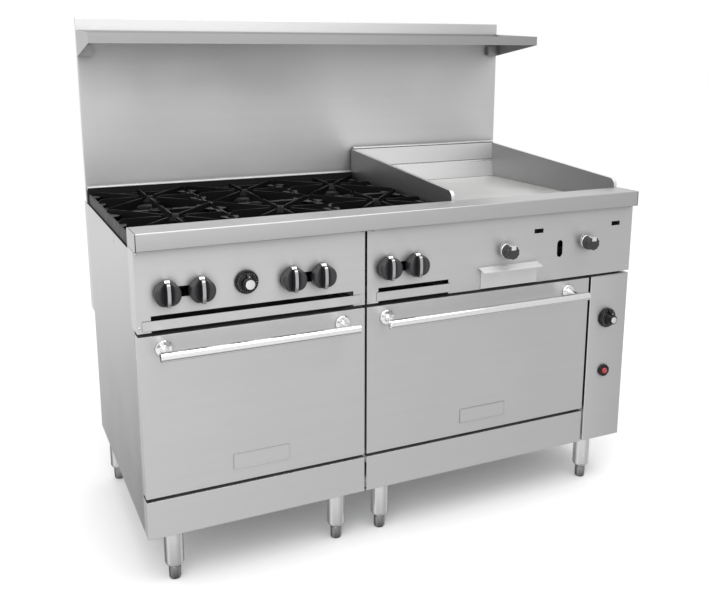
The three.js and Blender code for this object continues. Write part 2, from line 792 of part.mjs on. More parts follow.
addPiece('oven_door_left', door(NARROW.left + FIT, NARROW.right, NARROW_CAVITY), stainless);
addPiece('oven_door_right', door(WIDE.left, WIDE.right, WIDE_CAVITY), stainless);
addPiece('door_handle_left', handle(40, 563, [62, 541]), chrome);
addPiece('door_handle_right', handle(650, 1314, [674, 1290]), chrome);
addPiece('oven_liner_left', ovenLiner([SHEET + 1, NARROW.right - 2], NARROW_CAVITY), enamel);
addPiece('oven_liner_right', ovenLiner([WIDE.left + 2, WIDE.right - 2], WIDE_CAVITY), enamel);
addPiece('oven_rack_left', ovenRack(NARROW_CAVITY), chrome);
addPiece('oven_rack_right', ovenRack(WIDE_CAVITY), chrome);
addPiece('oven_burner_left', ovenBurner(NARROW_CAVITY), aluminised);
addPiece('oven_burner_right', ovenBurner(WIDE_CAVITY), aluminised);
addPiece('gas_manifold', gasManifold(), brass);

addPiece('burner_box', burnerBox(), stainless);
for (let column = 0; column < 3; column += 1) {
  addPiece(`burner_pair_${column + 1}`, burnerPair(column), castIron);
  addPiece(`grate_front_${column + 1}`, grate(column, 0), castIron);
  addPiece(`grate_rear_${column + 1}`, grate(column, 1), castIron);
}
addPiece('griddle_plate', griddlePlate(), stainless);
addPiece('griddle_splash', griddleSplash(), stainless);
addPiece('griddle_burner', griddleBurner(), aluminised);

addPiece('flue_riser', flueRiser(), stainless);
addPiece('backguard', backguard(), stainless);
addPiece('high_shelf', highShelf(), stainless);

export default range;
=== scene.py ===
"""Looks of the commercial gas range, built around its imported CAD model.

Metres, in the row frame: +X to the right along the front, +Y to the back, +Z up, the floor at Z = 0.
Places come from the CAD nodes' boxes. A piece that stands for a CAD node fills the same space with
more detail.
"""

import json
import math

import bmesh
import bpy
from mathutils import Matrix, Vector

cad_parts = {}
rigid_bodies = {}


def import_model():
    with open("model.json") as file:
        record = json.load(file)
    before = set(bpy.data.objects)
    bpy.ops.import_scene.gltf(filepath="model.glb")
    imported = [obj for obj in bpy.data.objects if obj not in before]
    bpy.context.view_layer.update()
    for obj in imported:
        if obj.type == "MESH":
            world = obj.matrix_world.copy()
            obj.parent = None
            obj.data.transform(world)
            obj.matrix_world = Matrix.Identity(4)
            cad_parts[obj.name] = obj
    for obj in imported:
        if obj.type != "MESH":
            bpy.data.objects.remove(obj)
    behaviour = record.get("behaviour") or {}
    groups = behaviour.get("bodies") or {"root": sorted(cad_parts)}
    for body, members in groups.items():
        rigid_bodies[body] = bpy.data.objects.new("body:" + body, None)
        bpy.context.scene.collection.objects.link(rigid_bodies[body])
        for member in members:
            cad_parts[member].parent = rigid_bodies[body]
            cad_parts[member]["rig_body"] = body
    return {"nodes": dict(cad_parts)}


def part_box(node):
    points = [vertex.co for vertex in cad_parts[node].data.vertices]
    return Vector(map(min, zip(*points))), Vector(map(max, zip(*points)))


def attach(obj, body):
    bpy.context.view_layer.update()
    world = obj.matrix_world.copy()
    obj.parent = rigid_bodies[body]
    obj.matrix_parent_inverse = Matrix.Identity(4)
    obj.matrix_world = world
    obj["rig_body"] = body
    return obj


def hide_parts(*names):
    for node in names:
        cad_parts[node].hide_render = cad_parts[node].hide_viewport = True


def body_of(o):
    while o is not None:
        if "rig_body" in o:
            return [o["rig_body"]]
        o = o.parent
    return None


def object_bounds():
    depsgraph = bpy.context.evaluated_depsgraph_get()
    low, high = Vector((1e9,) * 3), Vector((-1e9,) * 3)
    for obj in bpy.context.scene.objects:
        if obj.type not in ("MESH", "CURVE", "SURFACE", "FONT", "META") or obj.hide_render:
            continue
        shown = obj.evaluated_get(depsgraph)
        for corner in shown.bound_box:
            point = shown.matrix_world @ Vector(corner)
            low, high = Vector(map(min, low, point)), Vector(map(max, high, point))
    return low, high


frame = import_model()
cad_low, cad_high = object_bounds()

# ---- driving sizes
CAMERA_PLACE = (-1.106, -2.381, 1.366)
CAMERA_TURN = 24.71  # degrees from straight ahead towards +X
CAMERA_TILT = 11.93  # degrees below the horizon
CAMERA_LENS = 43.3  # millimetres, on a sensor 36 wide
CAMERA_SHIFT = -0.10  # of the picture's width

FRONT_WALL = 1.06  # brightness of the studio in front of the range
BACK_WALL = 1.02  # and behind it
RIGHT_SHADE = 0.62  # the share that is left far to the right, in front
BACK_GROUND = 0.24  # the share that is left low down behind
FRONT_GROUND = 0.25  # and low down in front

SHEET = 0.002  # sheet steel
SHARP = 38  # degrees between faces from which an edge is an edge
BEZEL_DEPTH = 0.008  # how far the igniter's bezel stands out
BURNER_COLUMNS = 3
GRATE_GAP = 0.0013  # between neighbouring grates
RAIL_WIDTH = 0.016  # of the burner box's rails, under the grates' edges
SEAM = 0.003  # between the griddle plate and its splash
FASTENER_HEIGHTS = (0.877, 0.190)  # on the side panels
FASTENER_DEPTHS = (0.168, 0.484)  # forward of a side panel's back edge
SCREW_TOP, SCREW_BOTTOM = 0.901, 0.717  # heights of the control panels' screws

RIGHTWARD = (1, 0, 0)
FORWARD = (0, -1, 0)
BACKWARD = (0, 1, 0)
UP = (0, 0, 1)


# ---- material tools
def add_node(tree, kind, **settings):
    """A shader node. A setting that names an input sets that input, and any other sets the node itself."""
    node = tree.nodes.new(kind)
    for key, value in settings.items():
        if key in node.inputs:
            node.inputs[key].default_value = value
        else:
            setattr(node, key, value)
    return node


def grain(tree, scale, detail=3.0, stretch=(1, 1, 1), distortion=0.0):
    """A noise pattern in the piece's own coordinates, in metres, and its Fac output."""
    place = add_node(tree, "ShaderNodeTexCoord")
    sized = add_node(tree, "ShaderNodeMapping", Scale=stretch)
    noise = add_node(tree, "ShaderNodeTexNoise", Scale=scale, Detail=detail, Distortion=distortion)
    tree.links.new(place.outputs["Object"], sized.inputs["Vector"])
    tree.links.new(sized.outputs["Vector"], noise.inputs["Vector"])
    return noise.outputs["Fac"]


def cells(tree, scale):
    """A pattern of round cells in the piece's own coordinates, in metres."""
    place = add_node(tree, "ShaderNodeTexCoord")
    pattern = add_node(tree, "ShaderNodeTexVoronoi", Scale=scale)
    tree.links.new(place.outputs["Object"], pattern.inputs["Vector"])
    return pattern


def between(tree, factor, low, high, start=0.3, end=0.7):
    """Maps a pattern from its range start..end to low..high."""
    values = {"From Min": start, "From Max": end, "To Min": low, "To Max": high}
    ranged = add_node(tree, "ShaderNodeMapRange", **values)
    tree.links.new(factor, ranged.inputs["Value"])
    return ranged.outputs["Result"]


def combined(tree, operation, first, second):
    """One pattern from two, by a sum or a product."""
    node = add_node(tree, "ShaderNodeMath", operation=operation)
    tree.links.new(first, node.inputs[0])
    tree.links.new(second, node.inputs[1])
    return node.outputs[0]


def blended(tree, share, plain, other):
    """A fixed number where share is 0, and the other value where it is 1."""
    mix = add_node(tree, "ShaderNodeMix", data_type="FLOAT")
    mix.inputs[2].default_value = plain
    tree.links.new(share, mix.inputs[0])
    tree.links.new(other, mix.inputs[3])
    return mix.outputs[0]


def tinted(tree, factor, first, second):
    """A colour between two, by a pattern."""
    mix = add_node(tree, "ShaderNodeMix", data_type="RGBA")
    mix.inputs[6].default_value = (*first, 1)
    mix.inputs[7].default_value = (*second, 1)
    tree.links.new(factor, mix.inputs[0])
    return mix.outputs[2]


def feed(shader, **patterns):
    """Drives a shader's inputs by patterns. An underscore in a name stands for a space."""
    for name, pattern in patterns.items():
        shader.id_data.links.new(pattern, shader.inputs[name.replace("_", " ")])


def bumped(tree, shader, height, strength, distance):
    """Fine relief in the shading of a surface."""
    bump = add_node(tree, "ShaderNodeBump", Strength=strength, Distance=distance)
    tree.links.new(height, bump.inputs["Height"])
    feed(shader, Normal=bump.outputs["Normal"])


def material(name, **sockets):
    """A new material, its node tree and its Principled shader."""
    made = bpy.data.materials.new(name)
    made.use_nodes = True
    shader = made.node_tree.nodes["Principled BSDF"]
    for key, value in sockets.items():
        shader.inputs[key.replace("_", " ")].default_value = value
    return made, made.node_tree, shader


def facing(tree, axis, start, end):
    """How far a face looks along an axis, either way, from 0 at start to 1 at end."""
    surface = add_node(tree, "ShaderNodeNewGeometry")
    split = add_node(tree, "ShaderNodeSeparateXYZ")
    size = add_node(tree, "ShaderNodeMath", operation="ABSOLUTE")
    tree.links.new(surface.outputs["Normal"], split.inputs["Vector"])
    tree.links.new(split.outputs[axis], size.inputs[0])
    return between(tree, size.outputs[0], 0.0, 1.0, start, end)


def scaled(tree, colour, level):
    """A colour multiplied by a pattern."""
    mix = add_node(tree, "ShaderNodeMix", data_type="RGBA", blend_type="MULTIPLY")
    mix.inputs[0].default_value = 1.0
    tree.links.new(colour, mix.inputs[6])
    tree.links.new(level, mix.inputs[7])
    return mix.outputs[2]


def painted_corner_shade(tree, deepest_painted_shade):
    """Painted shade from an ambient-occlusion node: near 1 on open faces, and lower in inner corners and
    under folds.
    """
    corner = add_node(tree, "ShaderNodeAmbientOcclusion", samples=8, Distance=0.027)
    return between(tree, corner.outputs["AO"], deepest_painted_shade, 1.0, 0.45, 0.92)


# ---- materials
def brushed_steel(
    name, tone, along, roughness, contrast=0.05, painted_level_factor=1.0, deepest_painted_shade=0.62, metallic=1.0
):
    """Sheet steel brushed along one axis: fine scratches, faint broad bands and cloudy smudges.

    Faces that look up or down are scaled by a given share, painted light above 1 and painted shade below.
    Inner corners take a painted shade from an ambient-occlusion node, down to a given share.
    """
    made, tree, shader = material(name, Metallic=metallic, Anisotropic=0.75, Anisotropic_Rotation=0.25)
    lengthwise = add_node(tree, "ShaderNodeCombineXYZ")
    for axis in "XYZ":
        lengthwise.inputs[axis].default_value = 1.0 if axis.lower() == along else 0.02
    stretch = [1.0 / 40 if axis == along else 1 for axis in "xyz"]
    fine = grain(tree, 1800, 2, stretch)
    bands = between(tree, grain(tree, 45, 2, stretch), 0.5 - contrast / 3, 0.5 + contrast / 3)
    smudges = between(tree, grain(tree, 4, 3), roughness - 0.03, roughness + 0.04)
    shade = combined(tree, "ADD", between(tree, fine, -contrast, contrast), bands)
    shades = [(min(1, tone * share),) * 3 for share in (0.72, 1.28)]
    # painted shade in inner corners and under folds
    colour = scaled(tree, tinted(tree, shade, *shades), painted_corner_shade(tree, deepest_painted_shade))
    # faces that look up or down are scaled: painted light when the share is above 1, painted shade when
    # below
    if painted_level_factor != 1.0:
        level = facing(tree, "Z", 0.3, 0.6)
        colour = scaled(tree, colour, between(tree, level, 1.0, painted_level_factor, 0.0, 1.0))
    rough = combined(tree, "ADD", between(tree, fine, -0.05, 0.05), smudges)
    feed(shader, Base_Color=colour, Roughness=rough, Tangent=lengthwise.outputs["Vector"])
    bumped(tree, shader, fine, 0.12, 0.00012)
    return made


def mottled(name, pattern, shades, rough, relief=(), **sockets):
    """A surface that drifts between two shades and two roughnesses, with fine relief.

    The pattern is a scale and a detail. The relief is those two, and then a strength and a distance.
    """
    made, tree, shader = material(name, **sockets)
    patches = grain(tree, *pattern)
    feed(shader, Base_Color=tinted(tree, patches, *shades), Roughness=between(tree, patches, *rough))
    if relief:
        scale, detail, strength, distance = relief
        bumped(tree, shader, grain(tree, scale, detail), strength, distance)
    return made


def polished_chrome(name, roughness, level=0.85):
    """Bright plating with a faint uneven haze."""
    shades = [(level * share,) * 3 for share in (0.94, 1.06)]
    return mottled(name, (60, 4), shades, (roughness * 0.7, roughness * 1.4), Metallic=1.0)


def cast_iron(name, dark, painted_top_tone):
    """Sand-cast iron, nearly black, with a painted top light: faces that look up or down are lighter, in
    random patches.
    """
    made, tree, shader = material(name, Specular_IOR_Level=0.10)
    sand = grain(tree, 900, 4)
    patches = grain(tree, 30, 3)
    # painted top light on faces that look up or down
    level = facing(tree, "Z", 0.985, 0.998)
    painted_top_mask = combined(tree, "MULTIPLY", level, between(tree, patches, 0.55, 1.0))
    shades = [(tone, tone, tone * 1.03) for tone in (dark, painted_top_tone)]
    feed(shader, Base_Color=tinted(tree, painted_top_mask, *shades), Roughness=between(tree, patches, 0.46, 0.62))
    bumped(tree, shader, sand, 0.35, 0.0004)
    return made


def mill_plate():
    """Thick welded plate with painted shade: faces that look to the two sides are dark, the edges and back
    bright.
    """
    made, tree, shader = material("mill_plate", Metallic=1.0)
    lines = grain(tree, 1500, 3, (1.0 / 30, 1.0 / 30, 1))
    # the darker tone is painted shade on faces that look to the sides
    ground, rolled = (0.78,) * 3, (0.27,) * 3
    feed(shader, Base_Color=tinted(tree, facing(tree, "X", 0.6, 0.9), ground, rolled))
    feed(shader, Roughness=between(tree, lines, 0.38, 0.52))
    bumped(tree, shader, lines, 0.12, 0.00015)
    return made


def black_plastic(name, level, roughness, specular):
    """Moulded black plastic, a little greyer where hands rub it."""
    shades = [(level * share, level * share, level * share * 1.1) for share in (0.8, 1.3)]
    rough = (roughness - 0.06, roughness + 0.06)
    pores = (2500, 2, 0.10, 0.0001)
    return mottled(name, (60, 3), shades, rough, pores, Specular_IOR_Level=specular)


def red_plastic():
    """Red plastic under a clear gloss."""
    shades = [(0.22, 0.004, 0.009), (0.42, 0.010, 0.018)]
    return mottled("red_plastic", (300, 2), shades, (0.14, 0.22), Coat_Weight=0.8, Coat_Roughness=0.08)


def white_ink():
    """The printing on the dials, a little worn."""
    made, tree, shader = material("dial_ink", Roughness=0.5)
    feed(shader, Base_Color=tinted(tree, grain(tree, 900, 2), (0.30,) * 3, (0.42,) * 3))
    return made


def oven_enamel():
    """Dark porcelain enamel with fine pale specks."""
    made, tree, shader = material("oven_enamel", Specular_IOR_Level=0.5)
    specks = between(tree, cells(tree, 260.0).outputs["Distance"], 1.0, 0.0, 0.10, 0.22)
    waves = grain(tree, 90, 2)
    feed(shader, Base_Color=tinted(tree, specks, (0.020, 0.022, 0.028), (0.17, 0.18, 0.20)))
    feed(shader, Roughness=between(tree, waves, 0.16, 0.30))
    bumped(tree, shader, waves, 0.08, 0.0005)
    return made


def aluminised_sheet():
    """Aluminised steel with its faint crystal spangle."""
    made, tree, shader = material("aluminised_sheet", Metallic=0.9)
    spangle = between(tree, cells(tree, 90.0).outputs["Color"], 0.0, 1.0, 0.1, 0.9)
    feed(shader, Base_Color=tinted(tree, spangle, (0.36, 0.37, 0.37), (0.47, 0.48, 0.48)))
    feed(shader, Roughness=between(tree, spangle, 0.42, 0.56, 0, 1))
    bumped(tree, shader, grain(tree, 500, 3), 0.1, 0.0002)
    return made


def valve_brass():
    """Brass fittings darkened nearly to black: painted shade, so that the slots behind the knobs look black.
    """
    shades = [(0.016, 0.013, 0.009), (0.036, 0.029, 0.018)]
    return mottled("valve_brass", (40, 4), shades, (0.26, 0.44), (900, 2, 0.15, 0.0002), Metallic=1.0)


def griddle_steel():
    """Ground and lightly seasoned plate: scratches from front to back with cloudy heat marks."""
    made, tree, shader = material("griddle_steel", Metallic=1.0)
    scratches = grain(tree, 1500, 3, (1, 1.0 / 30, 1))
    clouds = grain(tree, 7, 4, (1, 1, 1), 0.6)
    cloudy = between(tree, clouds, 0.44, 0.56)
    rough = combined(tree, "ADD", between(tree, scratches, -0.05, 0.05), cloudy)
    shades = [(0.74, 0.74, 0.735), (0.88, 0.88, 0.87)]
    feed(shader, Base_Color=tinted(tree, clouds, *shades), Roughness=rough)
    bumped(tree, shader, scratches, 0.12, 0.00015)
    return made


def pale_floor():
    """The studio floor, faintly lit from within so that it meets the white backdrop."""
    made, tree, shader = material("pale_floor", Roughness=0.9, Specular_IOR_Level=0.1)
    shader.inputs["Emission Strength"].default_value = 0.09
    shader.inputs["Emission Color"].default_value = (1, 1, 1, 1)
    feed(shader, Base_Color=tinted(tree, grain(tree, 2, 3), (0.90,) * 3, (0.93,) * 3))
    return made


STEEL_TONE = 0.62
STEEL_X = brushed_steel("stainless_along_x", STEEL_TONE, "x", 0.40)
STEEL_Z = brushed_steel("stainless_along_z", STEEL_TONE, "z", 0.40)
# lit and shaded copies of the same steel, with painted light and shade: the ledge and the shelf darker, the
# backguard a little brighter
LEDGE_STEEL = brushed_steel("ledge_steel", 0.53, "x", 0.40)
GUARD_STEEL = brushed_steel("guard_steel", 0.64, "x", 0.40)
SHELF_STEEL = brushed_steel("shelf_steel", 0.40, "x", 0.34)
BRIGHT_STEEL = brushed_steel("bright_steel", 0.78, "x", 0.22, contrast=0.02)
LEG_STEEL = brushed_steel("leg_steel", 0.66, "x", 0.22, contrast=0.03)
FOOT_STEEL = brushed_steel("foot_steel", 0.27, "x", 0.20, contrast=0.03)
# near-black screw heads: painted shade for the countersinks round them
HEAD_STEEL = brushed_steel("head_steel", 0.05, "x", 0.34, contrast=0.03)
# level faces darkened to 0.06: painted shade, so the trays look black through the slots above them
TRAY_STEEL = brushed_steel("tray_steel", STEEL_TONE, "x", 0.40, painted_level_factor=0.06)
# level faces 1.35 times as bright: a painted highlight on the drawer's lip
DRAWER_STEEL = brushed_steel("drawer_steel", 0.60, "x", 0.36, painted_level_factor=1.35, deepest_painted_shade=1.0, metallic=0.6)
HANDLE_CHROME = polished_chrome("handle_chrome", 0.10)
INSERT_CHROME = polished_chrome("insert_chrome", 0.22, 0.46)
# brighter than the splash's own plate: a painted highlight on its folds
FOLD_STEEL = polished_chrome("fold_steel", 0.16, 0.92)
RACK_CHROME = polished_chrome("rack_chrome", 0.18)
IRON = cast_iron("cast_iron", 0.0035, 0.088)
# a lighter copy of the cast iron for the aprons at the left: painted light, where the aprons face the key
# lamp
APRON_IRON_PAINTED_LIGHT = cast_iron("apron_iron", 0.060, 0.060)
BURNER_IRON = cast_iron("burner_iron", 0.005, 0.030)
BOX_IRON = cast_iron("box_iron", 0.012, 0.030)
MILL_PLATE = mill_plate()
PLASTIC = black_plastic("knob_plastic", 0.024, 0.36, 0.45)
DIAL_PLASTIC = black_plastic("dial_plastic", 0.006, 0.24, 0.28)
DIAL_INK = white_ink()
RED = red_plastic()
ENAMEL = oven_enamel()
ALUMINISED = aluminised_sheet()
# near black: painted shade for the slots between the knobs
BRASS = valve_brass()
GRIDDLE_STEEL = griddle_steel()
FLOOR = pale_floor()


# ---- mesh tools
def rounded(outline, radii, steps=5):
    """A closed outline with each corner replaced by an arc of its radius. One number does for all."""
    if not hasattr(radii, "__len__"):
        radii = [radii] * len(outline)
    points = []
    for i, corner in enumerate(outline):
        here = Vector(corner)
        before = Vector(outline[i - 1]) - here
        after = Vector(outline[(i + 1) % len(outline)]) - here
        if radii[i] <= 0:
            points.append(here)
            continue
        half = before.angle(after) / 2
        reach = min(radii[i] / math.tan(half), before.length * 0.49, after.length * 0.49)
        radius = reach * math.tan(half)
        start = here + before.normalized() * reach
        end = here + after.normalized() * reach
        middle = here + (before.normalized() + after.normalized()).normalized() * radius / math.sin(half)
        first, last = (start - middle).normalized(), (end - middle).normalized()
        points += [middle + first.slerp(last, k / steps) * radius for k in range(steps + 1)]
    return [tuple(p) for p in points]


def rectangle(x0, y0, x1, y1):
    return [(x0, y0), (x1, y0), (x1, y1), (x0, y1)]


def circle(x, y, radius, count, start=0.0):
    """Points round a centre, the first one start steps along. The radius may be a function of the angle."""
    points = []
    for k in range(count):
        t = 2 * math.pi * (k + start) / count
        reach = radius(t) if callable(radius) else radius
        points.append((x + reach * math.cos(t), y + reach * math.sin(t)))
    return points


class Shape:
    """The closed solids of one piece, gathered in one mesh."""

    PLACES = {
        "x": lambda u, v, level: (level, u, v),
        "y": lambda u, v, level: (u, level, v),
        "z": lambda u, v, level: (u, v, level),
    }

    def __init__(self):
        self.mesh = bmesh.new()

    def box(self, low, high):
        low, high = Vector(low), Vector(high)
        place = Matrix.Translation((low + high) / 2) @ Matrix.Diagonal((*(high - low), 1))
        bmesh.ops.create_cube(self.mesh, size=1, matrix=place)

    def skin(self, rings, closed=False):
        """Faces between rings of points. The last meets the first if closed, and if not, both are capped."""
        rows = [[self.mesh.verts.new(p) for p in ring] for ring in rings]
        following = rows[1:] + rows[:1] if closed else rows[1:]
        for one, two in zip(rows, following):
            count = max(len(one), len(two))
            for i in range(count if count > 1 else 0):
                j = (i + 1) % count
                if len(one) == 1:
                    corners = [one[0], two[j], two[i]]
                elif len(two) == 1:
                    corners = [one[i], one[j], two[0]]
                else:
                    corners = [one[i], one[j], two[j], two[i]]
                self.mesh.faces.new(corners)
        for row in () if closed else (rows[0], rows[-1]):
            if len(row) > 2:
                self.mesh.faces.new(row)

    def prism(self, outline, axis, start, end):
        """An outline in the plane across an axis, stretched along it."""
        place = self.PLACES[axis]
        self.skin([[place(u, v, level) for u, v in outline] for level in (start, end)])

    def turned(self, profile, origin, axis, sides=40):
        """A turned solid. The profile is a list of (radius, distance along the axis)."""
        axis = Vector(axis).normalized()
        side = axis.orthogonal().normalized()
        other = axis.cross(side)
        angles = [2 * math.pi * i / sides for i in range(sides)]
        rings = []
        for radius, distance in profile:
            middle = Vector(origin) + axis * distance
            if radius < 1e-6:
                rings.append([middle])
            else:
                rings.append([middle + (side * math.cos(t) + other * math.sin(t)) * radius for t in angles])
        self.skin(rings)

    def tube(self, start, end, radius, sides=24, edge=0.0008):
        """A round bar between two points, with small rounded ends."""
        start, end = Vector(start), Vector(end)
        length = (end - start).length
        edge = min(edge, radius * 0.4, length * 0.2)
        profile = [(0, 0), (radius - edge, 0), (radius, edge)]
        profile += [(radius, length - edge), (radius - edge, length), (0, length)]
        self.turned(profile, start, end - start, sides)

    def plain(self, name):
        """The gathered solids as one object, with no material or body yet."""
        bmesh.ops.recalc_face_normals(self.mesh, faces=self.mesh.faces)
        data = bpy.data.meshes.new(name)
        self.mesh.to_mesh(data)
        self.mesh.free()
        made = bpy.data.objects.new(name, data)
        bpy.context.scene.collection.objects.link(made)
        return made

    def done(self, name, body, surface, stands_for=(), bevel=0.0, segments=2):
        """The gathered solids as a piece, with its material, soft edges and body."""
        piece = self.plain(name)
        piece.data.materials.append(surface)
        piece.data.shade_smooth()
        piece.data.set_sharp_from_angle(angle=math.radians(SHARP))
        if bevel:
            edges = piece.modifiers.new("soft_edges", "BEVEL")
            edges.width = bevel
            edges.segments = segments
            edges.limit_method = "ANGLE"
            edges.angle_limit = math.radians(SHARP)
            edges.harden_normals = True
        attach(piece, body)
        if stands_for:
            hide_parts(*stands_for)
        return piece


def refined(node, surface, bevel=0.0006, segments=2):
    """The CAD node's own shape with its flat faces merged and its edges softened, as a new piece."""
    source = frame["nodes"][node]
    mesh = bmesh.new()
    mesh.from_mesh(source.data)
    bmesh.ops.remove_doubles(mesh, verts=mesh.verts, dist=2e-5)
    bmesh.ops.dissolve_limit(mesh, angle_limit=math.radians(0.6), verts=mesh.verts, edges=mesh.edges)
    shape = Shape()
    shape.mesh.free()
    shape.mesh = mesh
    return shape.done(node + "_sheet", body_of(source)[0], surface, [node], bevel, segments)


def middle(node):
    low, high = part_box(node)
    return (low + high) / 2


def carved(piece, cutter):
    """Cuts the cutter's solid out of the softened piece, and keeps its flat faces flat in shading."""
    cut = piece.modifiers.new("hole", "BOOLEAN")
    cut.object = cutter
    cut.solver = "EXACT"
    graph = bpy.context.evaluated_depsgraph_get()
    graph.update()
    piece.data = bpy.data.meshes.new_from_object(piece.evaluated_get(graph))
    piece.modifiers.clear()
    bpy.data.objects.remove(cutter)
    piece.data.shade_smooth()
    piece.data.set_sharp_from_angle(angle=math.radians(SHARP))
    flat = piece.modifiers.new("flat_faces", "WEIGHTED_NORMAL")
    flat.keep_sharp = True
    flat.weight = 100
    return piece


# ---- sheet-metal body
def cabinet_shell():
    """The outer sheets and the frames under them."""
    for side, out in (("left", -1), ("right", 1)):
        sheet = refined(f"side_panel_{side}", STEEL_Z, 0.0007)
        carved(sheet, countersinks(side, out))
        refined(f"kick_panel_{side}", STEEL_X, 0.0020, 3)
        refined(f"base_frame_{side}", ALUMINISED, 0.0008)
        refined(f"control_panel_{side}", STEEL_X, 0.0005)
    control_column()
    refined("back_panel", ALUMINISED, 0.0005)
    refined("flue_riser", STEEL_X, 0.0007)


def control_column():
    """The strip beside the wide door: a folded channel with a closed top."""
    low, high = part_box("oven_control_panel")
    front = low.y + BEZEL_DEPTH
    channel = [
        (low.x, high.y), (low.x, front), (high.x, front), (high.x, high.y), (high.x - SHEET, high.y),
        (high.x - SHEET, front + SHEET), (low.x + SHEET, front + SHEET), (low.x + SHEET, high.y),
    ]
    shape = Shape()
    shape.prism(rounded(channel, [0, 0.003, 0.003, 0, 0, 0.001, 0.001, 0]), "z", low.z, high.z - SHEET)
    shape.box((low.x + 0.001, front + 0.001, high.z - SHEET), (high.x - 0.001, front + 0.030, high.z))
    shape.done("oven_control_channel", "root", STEEL_X, ["oven_control_panel"], 0.0004)


def front_ledge():
    """The rolled ledge in front of the cooktop. Each end has a cap plate with a dark seam beside it."""
    low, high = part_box("front_ledge")
    seam, cap = 0.0016, 0.0024
    lip_back = low.y + 0.0216
    outer = [
        (lip_back, low.z), (low.y, low.z), (low.y, high.z), (high.y, high.z),
        (high.y, high.z - 0.030), (high.y - SHEET, high.z - 0.030), (high.y - SHEET, high.z - SHEET),
        (low.y + SHEET, high.z - SHEET), (low.y + SHEET, low.z + SHEET), (lip_back, low.z + SHEET),
    ]
    radii = [0, 0.003, 0.0035, 0.003, 0, 0, 0.001, 0.0015, 0.001, 0]
    shape = Shape()
    shape.prism(rounded(outer, radii), "x", low.x + cap + seam, high.x - cap - seam)
    end = rectangle(low.y, low.z, high.y, high.z)
    for x in (low.x, high.x - cap):
        shape.prism(rounded(end, 0.003), "x", x, x + cap)
    shape.done("front_ledge_rolled", "root", LEDGE_STEEL, ["front_ledge"], 0.0004)


def backguard_and_shelf():
    """The shelf, and the backguard: a sheet folded back at the top, between two end plates."""
    refined("high_shelf", SHELF_STEEL, 0.0008)
    low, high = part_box("backguard")
    hem = 0.012
    outer = [
        (low.y, low.z), (low.y, high.z), (high.y, high.z), (high.y, high.z - hem),
        (high.y - SHEET, high.z - hem), (high.y - SHEET, high.z - SHEET),
        (low.y + SHEET, high.z - SHEET), (low.y + SHEET, low.z),
    ]
    shape = Shape()
    outer = rounded(outer, [0, 0.0025, 0.0025, 0, 0, 0.001, 0.001, 0])
    shape.prism(outer, "x", low.x + 0.001, high.x - 0.001)
    side = rectangle(low.y, low.z, high.y, high.z)
    for x in (low.x, high.x - SHEET):
        shape.prism(rounded(side, [0, 0.002, 0.003, 0.003]), "x", x, x + SHEET)
    shape.box((low.x + SHEET, high.y - SHEET, low.z), (high.x - SHEET, high.y, low.z + 0.03))
    shape.done("backguard_folded", "root", GUARD_STEEL, ["backguard"], 0.0005)


def legs():
    """Stainless legs with a turned-in collar and a screw foot with a dark plated end."""
    foot_profile = [
        (0, 0), (0.0105, 0), (0.0140, 0.0015), (0.0158, 0.0060), (0.0162, 0.0360), (0.0150, 0.0375),
        (0.0150, 0.0395), (0, 0.0395),
    ]
    for place in [f"{i}_{row}" for row in ("front", "rear") for i in range(1, 5)]:
        low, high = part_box("leg_" + place)
        centre = (low + high) / 2
        radius = (high.x - low.x) / 2
        top = high.z
        foot = Shape()
        foot.turned(foot_profile, (centre.x, centre.y, 0), UP, 48)
        foot.done("leg_foot_" + place, "root", FOOT_STEEL, (), 0.0003)
        profile = [
            (0, 0.0390), (0.0165, 0.0390), (0.0178, 0.0406), (0.0215, 0.0432),
            (radius - 0.0004, 0.0490), (radius, 0.0508), (radius, top - 0.0050), (0, top - 0.0050),
        ]
        shape = Shape()
        shape.turned(profile, (centre.x, centre.y, 0), UP, 48)
        half = radius + 0.006
        inward = min(0.0, cad_high.x - centre.x - half)
        square = [(centre.x + x + inward, centre.y + y) for x, y in rectangle(-half, -half, half, half)]
        shape.prism(rounded(square, 0.006), "z", top - 0.0055, top - 0.0012)
        shape.done(f"leg_{place}_turned", "root", LEG_STEEL, ["leg_" + place], 0.0003)


# profiles from a side panel's face: the cut, and the screw head that lies in it
COUNTERSINK = [(0, 0.0004), (0.0050, 0.0004), (0.0036, -0.0012), (0, -0.0012)]
SUNK_HEAD = [
    (0, -0.0008), (0.0012, -0.0008), (0.0015, -0.0004),
    (0.0027, -0.0005), (0.0031, -0.0013), (0, -0.0013),
]


def fastener_places(out):
    """Where the sunk fasteners are on the left (-1) or right (1) side."""
    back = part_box("side_panel_left")[1].y
    x = cad_low.x if out < 0 else cad_high.x
    return [(x, back - depth, height) for height in FASTENER_HEIGHTS for depth in FASTENER_DEPTHS]


def countersinks(side, out):
    """The solid that cuts the countersinks of one side."""
    shape = Shape()
    for place in fastener_places(out):
        shape.turned(COUNTERSINK, place, (out, 0, 0), 20)
    return shape.plain("countersink_" + side)


def screw_head(shape, place, axis, radius=0.0034):
    """A pan-head screw with a socket."""
    profile = [
        (0, 0.0006), (radius * 0.34, 0.0006), (radius * 0.36, 0.0017), (radius * 0.72, 0.0016),
        (radius * 0.95, 0.0010), (radius, 0.0003), (radius, -0.0004), (0, -0.0004),
    ]
    shape.turned(profile, place, axis, 14)


